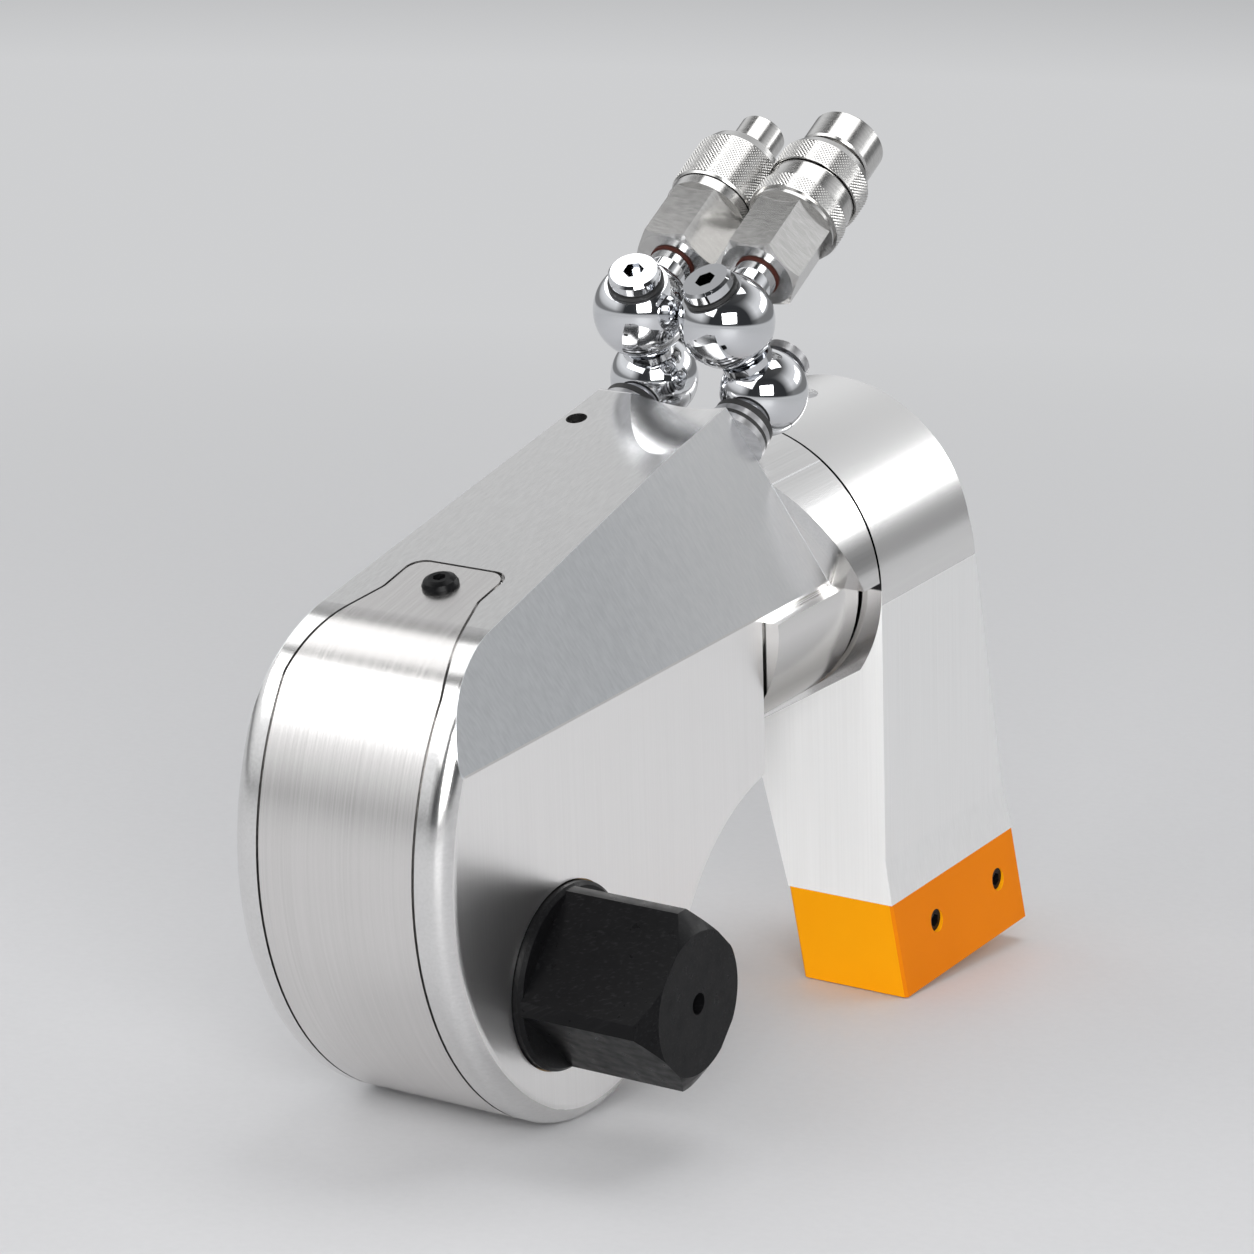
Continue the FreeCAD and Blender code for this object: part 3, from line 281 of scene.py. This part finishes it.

# %% [markdown]
# The arm is satin on its sides, and its front scatters light almost like paint. The round head
# shines. A point is on the head when its distance from the cylinder's axis is the head's radius.
# The front of the head is a mirror, so the barrel seems to go on in it. The mirror ends at a
# straight line low on the left. Above the axis the front is painted nearly black as painted
# shade, so that the thin gap between body and arm reads as a line.

# %% Arm finish
arm_low, arm_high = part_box("reaction_arm")
head_radius = 0.0445
head_centre = (-width / 2, 0.0, arm_high[2] - head_radius)
arm_finish, tree, shader = new_finish("satin_arm", (0.9, 0.9, 0.9), 0.36)
on_front = plane_mask(tree, (0, 1, 0), arm_low[1])
behind_front = rising(tree, arm_low[1] + 0.0001, arm_low[1] + 0.0002, "Y")
on_head = both(tree, behind_front, round_mask(tree, head_centre, head_radius))
upright = grain(tree, (0, 0, 0), (1500, 1900, 14), 1.0, 3.0)
tone = blend(tree, spread(tree, upright, 0, 1), (0.88, 0.88, 0.875), (0.93, 0.93, 0.925))
tone = blend(tree, on_head, tone, (0.74, 0.735, 0.73))
joint_face = both(tree, on_front, round_mask(tree, head_centre, 0.0, head_radius))
place = node(tree, "ShaderNodeTexCoord")
slant = node(tree, "ShaderNodeVectorMath", operation="DOT_PRODUCT")
slant.inputs[1].default_value = (-0.5213, 0.0, 0.8534)
tree.links.new(place.outputs["Object"], slant.inputs[0])
joint_face = both(tree, joint_face, spread(tree, slant.outputs["Value"], 0.0, 1.0, 0.0318, 0.0322))
# painted shade: above the axis the head's front is painted nearly black, standing in for the gap's shade
gap_shade_above_axis = rising(tree, axis_height, axis_height + 0.0005)
mirror_and_painted_gap_shade = blend(tree, gap_shade_above_axis, (0.82, 0.81, 0.80), (0.03, 0.03, 0.03))
tree.links.new(blend(tree, joint_face, tone, mirror_and_painted_gap_shade), shader.inputs["Base Color"])
metal = either(tree, spread(tree, on_front, 0.85, 0.05, 0.0, 1.0), joint_face)
tree.links.new(metal, shader.inputs["Metallic"])
gloss = spread(tree, on_head, 0.38, 0.22, 0.0, 1.0)
faced = spread(tree, joint_face, 0.0, 0.30, 0.0, 1.0)
settled = node(tree, "ShaderNodeMath", operation="SUBTRACT")
tree.links.new(gloss, settled.inputs[0])
tree.links.new(faced, settled.inputs[1])
tree.links.new(settled.outputs[0], shader.inputs["Roughness"])
relief(tree, shader, upright, 0.000003, 0.5)
print("arm finish ready, head centre", [round(value, 4) for value in head_centre])

# %% [markdown]
# The drive is blackened steel: nearly black, half glossy, with fine scratches that catch the
# light. Chrome is a mirror, rubber is dull, and the foot wears a satin orange paint with the
# slight ripple that sprayed paint has. The foot's side is a deeper orange than its front, which
# stands in for the shade it has in the picture.

# %% Dark, mirror, rubber and paint finishes
black_finish, tree, shader = new_finish("black_oxide", (0.006, 0.006, 0.0065), 0.34, 0.0)
scratches = grain(tree, (0.3, 0.5, 0.2), (60, 1500, 1500), 1.0, 4.0)
mottle = grain(tree, (0, 0, 0), (1, 1, 1), 260.0, 4.0)
scratched = spread(tree, scratches, 0, 1, 0.55, 0.85)
tree.links.new(blend(tree, scratched, (0.005, 0.005, 0.0055), (0.02, 0.02, 0.021)), shader.inputs["Base Color"])
tree.links.new(spread(tree, mottle, 0.26, 0.44), shader.inputs["Roughness"])
shader.inputs["Specular IOR Level"].default_value = 0.1
relief(tree, shader, scratches, 0.00001, 0.5)

chrome_finish, tree, shader = new_finish("chrome", (0.70, 0.71, 0.73), 0.04)
haze = grain(tree, (0, 0, 0), (1, 1, 1), 90.0, 3.0)
tree.links.new(spread(tree, haze, 0.03, 0.07), shader.inputs["Roughness"])

rubber_finish, tree, shader = new_finish("seal_rubber", (0.02, 0.02, 0.02), 0.55, 0.0)
skin = grain(tree, (0, 0, 0), (1, 1, 1), 900.0, 3.0)
tree.links.new(spread(tree, skin, 0.45, 0.65), shader.inputs["Roughness"])

red_finish, tree, shader = new_finish("neck_ring_rubber", (0.06, 0.015, 0.01), 0.45, 0.0)
shader.inputs["Specular IOR Level"].default_value = 0.15
skin = grain(tree, (0, 0, 0), (1, 1, 1), 900.0, 3.0)
tree.links.new(spread(tree, skin, 0.4, 0.6), shader.inputs["Roughness"])

spring_finish, tree, shader = new_finish("spring_steel", (0.30, 0.29, 0.30), 0.3)
skin = grain(tree, (0, 0, 0), (1, 1, 1), 500.0, 3.0)
tree.links.new(spread(tree, skin, 0.25, 0.4), shader.inputs["Roughness"])

orange_finish, tree, shader = new_finish("orange_paint", (1.0, 0.34, 0.004), 0.5, 0.0)
shader.inputs["Specular IOR Level"].default_value = 0.06
ripple = grain(tree, (0, 0, 0), (1, 1, 1), 700.0, 2.0)
shift = grain(tree, (0, 0, 0), (1, 1, 1), 30.0, 2.0)
front_orange = blend(tree, spread(tree, shift, 0, 1), (0.98, 0.375, 0.003), (1.0, 0.40, 0.004))
side_orange = blend(tree, spread(tree, shift, 0, 1), (0.74, 0.195, 0.002), (0.78, 0.21, 0.002))
facing = node(tree, "ShaderNodeSeparateXYZ")
tree.links.new(node(tree, "ShaderNodeTexCoord").outputs["Normal"], facing.inputs[0])
on_pad_side = spread(tree, facing.outputs["X"], 0.0, 1.0, 0.6, 0.7)
tree.links.new(blend(tree, on_pad_side, front_orange, side_orange), shader.inputs["Base Color"])
relief(tree, shader, ripple, 0.00003, 0.4)
print("dark, mirror, rubber and paint ready")

# %% [markdown]
# The record already groups the pieces by what they are made of, so one table from those groups
# to the finishes dresses the whole tool.

# %% Dress the solids
finish_of_slot = {
    "body_alloy": body_finish, "cover_alloy": cover_finish, "arm_alloy": arm_finish,
    "black_steel": black_finish, "inner_steel": inner_finish, "spring_steel": spring_finish,
    "bronze": bronze_finish, "seal": rubber_finish, "chrome": chrome_finish,
    "coupler_steel": nickel_finish, "neck_ring": red_finish, "orange_pad": orange_finish,
}
for part in frame["record"]["subparts"]:
    solid = nodes[part["node"]]
    for slot in solid.material_slots:
        slot.material = finish_of_slot[part["material_slot"]]

# %% [markdown]
# On the real body the slanted facet runs on over the front of the barrel, up to the plane that
# the swivel stands on. In the solid a little of the round barrel stands proud of it. A Boolean
# with one wedge for each side cuts a copy of the body flush. The wedge stays 0.01 mm clear of the
# faces that are already right, because faces that coincide make a Boolean leave slivers. The cut
# loses the smooth normals of the round faces, so each corner gets back the normal that the same
# corner had on the solid.

# %% Facet over the barrel
seat_tilt = math.radians(28.0)
seat_edge = Vector((0.0, 0.1085, 0.12656))
ledge = 0.0670
wedge_start = 0.1028
wedge_top = 0.1
wedge_reach = 0.02
skin_gap = 0.00001
barrel_radius = 0.0385
sleeve_radius = 0.045


def facet_wedge(name, side):
    # a prism outside the facet, from the block's rear to the swivel's plane
    def out(z):
        slant = max(0.0, z - facet_base) * math.tan(facet_lean)
        return skin_gap - slant if side > 0 else -width - skin_gap + slant
    far = wedge_reach if side > 0 else -width - wedge_reach
    rim = [(out(ledge), ledge + skin_gap), (far, ledge + skin_gap), (far, wedge_top), (out(wedge_top), wedge_top),
           (out(facet_base), facet_base)]
    front = [(x, wedge_start, z) for x, z in rim]
    back = [(x, seat_edge.y + (seat_edge.z - z) * math.tan(seat_tilt) - skin_gap, z) for x, z in rim]
    count = len(rim)
    sides = [(i, (i + 1) % count, (i + 1) % count + count, i + count) for i in range(count)]
    mesh = bpy.data.meshes.new(name)
    ends = [tuple(range(count)), tuple(range(2 * count - 1, count - 1, -1))]
    mesh.from_pydata(front + back, [], ends + sides)
    shape = bmesh.new()
    shape.from_mesh(mesh)
    bmesh.ops.recalc_face_normals(shape, faces=shape.faces)
    shape.to_mesh(mesh)
    shape.free()
    made = bpy.data.objects.new(name, mesh)
    bpy.context.scene.collection.objects.link(made)
    return made


body_mesh = nodes["housing"].data.copy()
shape = bmesh.new()
shape.from_mesh(body_mesh)
bmesh.ops.remove_doubles(shape, verts=shape.verts, dist=0.000002)
shape.to_mesh(body_mesh)
shape.free()
body_piece = bpy.data.objects.new("housing_trimmed", body_mesh)
bpy.context.scene.collection.objects.link(body_piece)
wedges = [facet_wedge("wedge_right", 1), facet_wedge("wedge_left", -1)]
for wedge in wedges:
    cut = body_piece.modifiers.new(wedge.name, "BOOLEAN")
    cut.operation = "DIFFERENCE"
    cut.solver = "EXACT"
    cut.object = wedge
bpy.context.view_layer.update()
trimmed = bpy.data.meshes.new_from_object(body_piece.evaluated_get(bpy.context.evaluated_depsgraph_get()))
body_piece.modifiers.clear()
body_piece.data = trimmed
for wedge in wedges:
    bpy.data.objects.remove(wedge)
trimmed.materials.clear()
trimmed.materials.append(body_finish)


def from_cylinder_axis(spot):
    return Vector((spot.x + width / 2, 0.0, spot.z - axis_height))


def corner_normals(made, source):
    # straight out on the barrel and its sleeve, else the solid's own, else flat
    known = {}
    for face in source.polygons:
        for loop in face.loop_indices:
            spot = source.vertices[source.loops[loop].vertex_index].co
            key = tuple(round(value, 6) for value in spot)
            known.setdefault(key, []).append((face.normal.copy(), source.corner_normals[loop].vector.copy()))
    normals = []
    for face in made.polygons:
        spots = [made.vertices[index].co for index in face.vertices]
        reaches = [from_cylinder_axis(spot).length for spot in spots]
        on_round = any(max(abs(reach - radius) for reach in reaches) < 0.00005
                       for radius in (barrel_radius, sleeve_radius))
        turned = on_round and abs(face.normal.y) < 0.05
        for spot in spots:
            best = max(known.get(tuple(round(value, 6) for value in spot), []),
                       key=lambda pair: pair[0].dot(face.normal), default=None)
            if turned:
                normals.append(from_cylinder_axis(spot).normalized())
            elif best and best[0].dot(face.normal) > 0.98:
                normals.append(best[1])
            else:
                normals.append(face.normal.copy())
    return normals


for face in trimmed.polygons:
    face.use_smooth = True
trimmed.normals_split_custom_set(corner_normals(trimmed, nodes["housing"].data))
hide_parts("housing")
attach(body_piece, body_of_node["housing"])
shape = bmesh.new()
shape.from_mesh(trimmed)
open_edges = sum(not edge.is_manifold for edge in shape.edges)
print("trimmed body:", len(trimmed.polygons), "faces,", open_edges, "open edges")
shape.free()

# %% [markdown]
# Knurling is a diamond pattern pressed into the collars so that oily fingers can turn them. Each
# diamond is a low pyramid, and thousands of them follow one rule, which is work for Geometry
# Nodes: number the points, give each its column and row, wrap the columns round the axis and
# push every second row along by half a step.

# %% Knurl by Geometry Nodes
def math_node(tree, operation, first, second=None):
    made = node(tree, "ShaderNodeMath", operation=operation)
    for socket, value in ((made.inputs[0], first), (made.inputs[1], second)):
        if value is None:
            continue
        if isinstance(value, (int, float)):
            socket.default_value = value
        else:
            tree.links.new(value, socket)
    return made.outputs["Value"]


def knurl_tree():
    tree = bpy.data.node_groups.new("knurl", "GeometryNodeTree")
    tree.interface.new_socket("Geometry", in_out="OUTPUT", socket_type="NodeSocketGeometry")
    for label in ("Radius", "Start", "Length", "Columns", "Rows", "Height"):
        tree.interface.new_socket(label, in_out="INPUT", socket_type="NodeSocketFloat")
    tree.interface.new_socket("Finish", in_out="INPUT", socket_type="NodeSocketMaterial")
    given = node(tree, "NodeGroupInput")
    result = node(tree, "NodeGroupOutput")
    columns, rows = given.outputs["Columns"], given.outputs["Rows"]
    points = node(tree, "GeometryNodePoints")
    tree.links.new(math_node(tree, "MULTIPLY", columns, rows), points.inputs["Count"])
    index = node(tree, "GeometryNodeInputIndex").outputs["Index"]
    row = math_node(tree, "FLOOR", math_node(tree, "DIVIDE", math_node(tree, "ADD", index, 0.5), columns))
    column = math_node(tree, "SUBTRACT", index, math_node(tree, "MULTIPLY", row, columns))
    half_step = math_node(tree, "MULTIPLY", math_node(tree, "MODULO", row, 2.0), 0.5)
    turn = math_node(tree, "DIVIDE", math_node(tree, "ADD", column, half_step), columns)
    angle = math_node(tree, "MULTIPLY", turn, 2 * math.pi)
    pitch = math_node(tree, "DIVIDE", given.outputs["Length"], rows)
    rise = math_node(tree, "MULTIPLY", math_node(tree, "ADD", row, 0.5), pitch)
    place = node(tree, "ShaderNodeCombineXYZ")
    tree.links.new(math_node(tree, "MULTIPLY", given.outputs["Radius"], math_node(tree, "COSINE", angle)),
                   place.inputs["X"])
    tree.links.new(math_node(tree, "MULTIPLY", given.outputs["Radius"], math_node(tree, "SINE", angle)),
                   place.inputs["Y"])
    tree.links.new(math_node(tree, "ADD", rise, given.outputs["Start"]), place.inputs["Z"])
    tree.links.new(place.outputs["Vector"], points.inputs["Position"])
    diamond = node(tree, "GeometryNodeMeshCone", fill_type="NGON")
    diamond.inputs["Vertices"].default_value = 4
    diamond.inputs["Radius Top"].default_value = 0.0
    diamond.inputs["Radius Bottom"].default_value = 1.0
    diamond.inputs["Depth"].default_value = 1.0
    lean = node(tree, "ShaderNodeCombineXYZ")
    lean.inputs["Y"].default_value = math.pi / 2
    tree.links.new(angle, lean.inputs["Z"])
    size = node(tree, "ShaderNodeCombineXYZ")
    arc = math_node(tree, "DIVIDE", math_node(tree, "MULTIPLY", given.outputs["Radius"], math.pi), columns)
    tree.links.new(pitch, size.inputs["X"])
    tree.links.new(arc, size.inputs["Y"])
    tree.links.new(given.outputs["Height"], size.inputs["Z"])
    copies = node(tree, "GeometryNodeInstanceOnPoints")
    tree.links.new(points.outputs["Points"], copies.inputs["Points"])
    tree.links.new(diamond.outputs["Mesh"], copies.inputs["Instance"])
    tree.links.new(lean.outputs["Vector"], copies.inputs["Rotation"])
    tree.links.new(size.outputs["Vector"], copies.inputs["Scale"])
    real = node(tree, "GeometryNodeRealizeInstances")
    tree.links.new(copies.outputs["Instances"], real.inputs["Geometry"])
    paint = node(tree, "GeometryNodeSetMaterial")
    tree.links.new(real.outputs["Geometry"], paint.inputs["Geometry"])
    tree.links.new(given.outputs["Finish"], paint.inputs["Material"])
    tree.links.new(paint.outputs["Geometry"], result.inputs["Geometry"])
    return tree


knurl = knurl_tree()


def settle(host, name, place):
    # freezes a modifier's result into a plain mesh that sits where the place matrix says
    bpy.context.view_layer.update()
    graph = bpy.context.evaluated_depsgraph_get()
    mesh = bpy.data.meshes.new_from_object(host.evaluated_get(graph))
    mesh.transform(place)
    made = bpy.data.objects.new(name, mesh)
    bpy.context.scene.collection.objects.link(made)
    bpy.data.objects.remove(host)
    return made


def knurl_band(name, place, finish, **sizes):
    host = bpy.data.objects.new(name + "_host", bpy.data.meshes.new(name + "_host"))
    bpy.context.scene.collection.objects.link(host)
    modifier = host.modifiers.new("knurl", "NODES")
    modifier.node_group = knurl
    for item in knurl.interface.items_tree:
        if item.in_out == "INPUT" and item.name in sizes:
            modifier[item.identifier] = float(sizes[item.name])
        if item.in_out == "INPUT" and item.name == "Finish":
            modifier[item.identifier] = finish
    return settle(host, name, place)


# %% [markdown]
# The couplers stand along the direction of the slanted seat. A matrix that turns the Z axis to
# that direction and moves the start to the upper ball's centre puts each knurled band in place.

# %% Knurled collars
upper_ball = {}
for joint in frame["record"]["behaviour"]["joints"]:
    for side in ("advance", "retract"):
        if joint["name"] == "collar_" + side + "_turn":
            upper_ball[side] = Vector(joint["pos_m"])
            seat_direction = Vector(joint["axis"]).normalized()


def along_coupler(side):
    turn = Vector((0, 0, 1)).rotation_difference(seat_direction).to_matrix().to_4x4()
    return Matrix.Translation(upper_ball[side]) @ turn


knurl_bands = [
    ("collar_knurl_advance", "advance", "coupler_collar_advance", 13.45, 54.2, 7.2, 76, 13),
    ("body_knurl_advance", "advance", "coupler_body_advance", 13.45, 42.0, 5.0, 76, 9),
    ("collar_knurl_retract", "retract", "coupler_collar_retract", 12.95, 44.8, 15.4, 74, 28),
]
for name, side, carrier, radius, start, length, columns, rows in knurl_bands:
    band = knurl_band(name, along_coupler(side), knurl_finish, Radius=radius / 1000, Start=start / 1000,
                      Length=length / 1000, Columns=columns, Rows=rows, Height=0.00045)
    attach(band, body_of_node[carrier])
    print(name, len(band.data.polygons), "faces")

# %% [markdown]
# The floor is one pale sheet. The tool rests on its nose and on the front edge of its foot, so
# the sheet leans with it. Seen by the camera and in mirrors, the far backdrop is the same pale
# grey, and the sheet still catches the tool's shadow.

# %% Floor and backdrop
nose_touch = Vector((0, 0.014, -0.0454))
foot_touch = Vector((0, 0.1505, -0.0586))
slope = (foot_touch.z - nose_touch.z) / (foot_touch.y - nose_touch.y)


def floor_height(y):
    return nose_touch.z + slope * (y - nose_touch.y) - 0.0003


floor_mesh = bpy.data.meshes.new("floor")
reach = 6.0
floor_mesh.from_pydata([(x, y, floor_height(y)) for x, y in
                        ((-reach, -reach), (reach, -reach), (reach, reach), (-reach, reach))],
                       [], [(0, 1, 2, 3)])
floor = bpy.data.objects.new("floor", floor_mesh)
bpy.context.scene.collection.objects.link(floor)
floor_finish, tree, shader = new_finish("floor_paper", (0.62, 0.62, 0.63), 0.6, 0.0)
fibre = grain(tree, (0, 0, 0), (1, 1, 1), 400.0, 2.0)
tree.links.new(blend(tree, spread(tree, fibre, 0, 1), (0.615, 0.615, 0.625), (0.63, 0.63, 0.64)),
               shader.inputs["Base Color"])
place = node(tree, "ShaderNodeTexCoord")
away = node(tree, "ShaderNodeVectorMath", operation="LENGTH")
tree.links.new(place.outputs["Object"], away.inputs[0])
far = spread(tree, away.outputs["Value"], 0.0, 1.0, 0.35, 1.2)
skyline = spread(tree, away.outputs["Value"], 0.0, 1.0, 2.2, 4.0)
glow = node(tree, "ShaderNodeEmission")
tree.links.new(blend(tree, skyline, (0.62, 0.625, 0.635), (0.24, 0.245, 0.25)), glow.inputs["Color"])
fade = node(tree, "ShaderNodeMixShader")
tree.links.new(far, fade.inputs[0])
tree.links.new(shader.outputs[0], fade.inputs[1])
tree.links.new(glow.outputs[0], fade.inputs[2])
tree.links.new(fade.outputs[0], tree.nodes["Material Output"].inputs["Surface"])
floor_mesh.materials.append(floor_finish)

# %% [markdown]
# The world is a plain pale studio: light from all round, a little less from above, so that the
# polished edges have something to show. Where the camera or a mirror looks past the floor it
# sees the backdrop's grey, a dark ceiling, and a dark curtain at the front right, because chrome
# looks like chrome only where bright and dark meet.

# %% World light
world = bpy.data.worlds.new("studio")
bpy.context.scene.world = world
world.use_nodes = True
tree = world.node_tree
tree.nodes.clear()
out = node(tree, "ShaderNodeOutputWorld")
plain = node(tree, "ShaderNodeBackground")
seen = node(tree, "ShaderNodeBackground")
plain.inputs["Color"].default_value = (0.62, 0.63, 0.65, 1)
plain.inputs["Strength"].default_value = 0.40
seen.inputs["Strength"].default_value = 1.0
place = node(tree, "ShaderNodeTexCoord")
split = node(tree, "ShaderNodeSeparateXYZ")
tree.links.new(place.outputs["Generated"], split.inputs["Vector"])
bands = node(tree, "ShaderNodeValToRGB")
while len(bands.color_ramp.elements) > 1:
    bands.color_ramp.elements.remove(bands.color_ramp.elements[0])
levels = [(0.0, 0.24), (0.06, 0.24), (0.14, 0.62), (0.30, 0.92),
          (0.48, 0.86), (0.60, 0.66), (0.80, 0.10), (1.0, 0.06)]
bands.color_ramp.elements[0].position = levels[0][0]
for high, level in levels:
    stop = bands.color_ramp.elements[0] if high == 0.0 else bands.color_ramp.elements.new(high)
    stop.color = (level, level * 1.008, level * 1.02, 1)
tree.links.new(split.outputs["Z"], bands.inputs["Fac"])
curtain = node(tree, "ShaderNodeVectorMath", operation="DOT_PRODUCT")
curtain.inputs[1].default_value = (math.sin(math.radians(40)), -math.cos(math.radians(40)), 0.0)
tree.links.new(place.outputs["Generated"], curtain.inputs[0])
dark_side = spread(tree, curtain.outputs["Value"], 0.0, 1.0, 0.3, 0.65)
tree.links.new(blend(tree, dark_side, bands.outputs["Color"], (0.04, 0.042, 0.045)), seen.inputs["Color"])
rays = node(tree, "ShaderNodeLightPath")
looked = either(tree, rays.outputs["Is Camera Ray"], rays.outputs["Is Glossy Ray"])
looked = either(tree, looked, rays.outputs["Is Transmission Ray"])
pick = node(tree, "ShaderNodeMixShader")
tree.links.new(looked, pick.inputs[0])
tree.links.new(plain.outputs[0], pick.inputs[1])
tree.links.new(seen.outputs[0], pick.inputs[2])
tree.links.new(pick.outputs[0], out.inputs["Surface"])

# %% [markdown]
# Five wide lamps act as soft boxes. Wide lamps give soft shadows and broad bright bands on the
# polished edges.

# %% Lamps
middle = Vector((-0.03, 0.08, 0.05))


def soft_box(name, around, above, distance, wide, tall, watts):
    # stands at a bearing and a height in degrees, and faces the tool
    bearing, height = math.radians(around), math.radians(above)
    flat = math.cos(height)
    toward = Vector((math.sin(bearing) * flat, -math.cos(bearing) * flat, math.sin(height)))
    lamp = bpy.data.lights.new(name, "AREA")
    lamp.shape = "RECTANGLE"
    lamp.size = wide
    lamp.size_y = tall
    lamp.energy = watts
    holder = bpy.data.objects.new(name, lamp)
    holder.location = middle + toward * distance
    holder.rotation_euler = toward.to_track_quat("Z", "Y").to_euler()
    holder.visible_camera = False
    bpy.context.scene.collection.objects.link(holder)
    return holder


soft_box("key_box", -28, 40, 2.0, 1.9, 1.0, 14)
soft_box("left_box", -92, 50, 1.8, 0.9, 0.9, 4)
soft_box("fill_box", 40, 22, 2.0, 1.2, 0.9, 31)
soft_box("back_box", 150, 18, 1.8, 1.2, 0.35, 5)
soft_box("top_box", 170, 72, 1.7, 1.3, 0.8, 9)
print("lamps ready")

# %% [markdown]
# A long lens keeps the tool's edges almost parallel. The camera's place and turn were measured
# from the picture: 33 degrees round from the front, a little over 18 degrees above the tool's
# own level, and almost two degrees of tilt.

# %% Camera
azimuth = math.radians(33.0)
elevation = math.radians(18.4)
roll = math.radians(-1.8)
back = Vector((math.sin(azimuth) * math.cos(elevation), -math.cos(azimuth) * math.cos(elevation),
               math.sin(elevation)))
level = Vector((math.cos(azimuth), math.sin(azimuth), 0.0))
upward = back.cross(level)
right = level * math.cos(roll) + upward * math.sin(roll)
above = upward * math.cos(roll) - level * math.sin(roll)
lens = bpy.data.cameras.new("camera")
lens.sensor_width = 36.0
picture_width = 1254.0
focal_pixels = 5000.0
lens.lens = lens.sensor_width * focal_pixels / picture_width
lens.clip_end = 50.0
camera = bpy.data.objects.new("camera", lens)
pose = Matrix((right, above, back)).transposed().to_4x4()
pose.translation = Vector((0.6802, -1.0127, 0.5017))
camera.matrix_world = pose
bpy.context.scene.collection.objects.link(camera)
bpy.context.scene.camera = camera

# %% Finish
bpy.context.scene.view_settings.view_transform = "Standard"
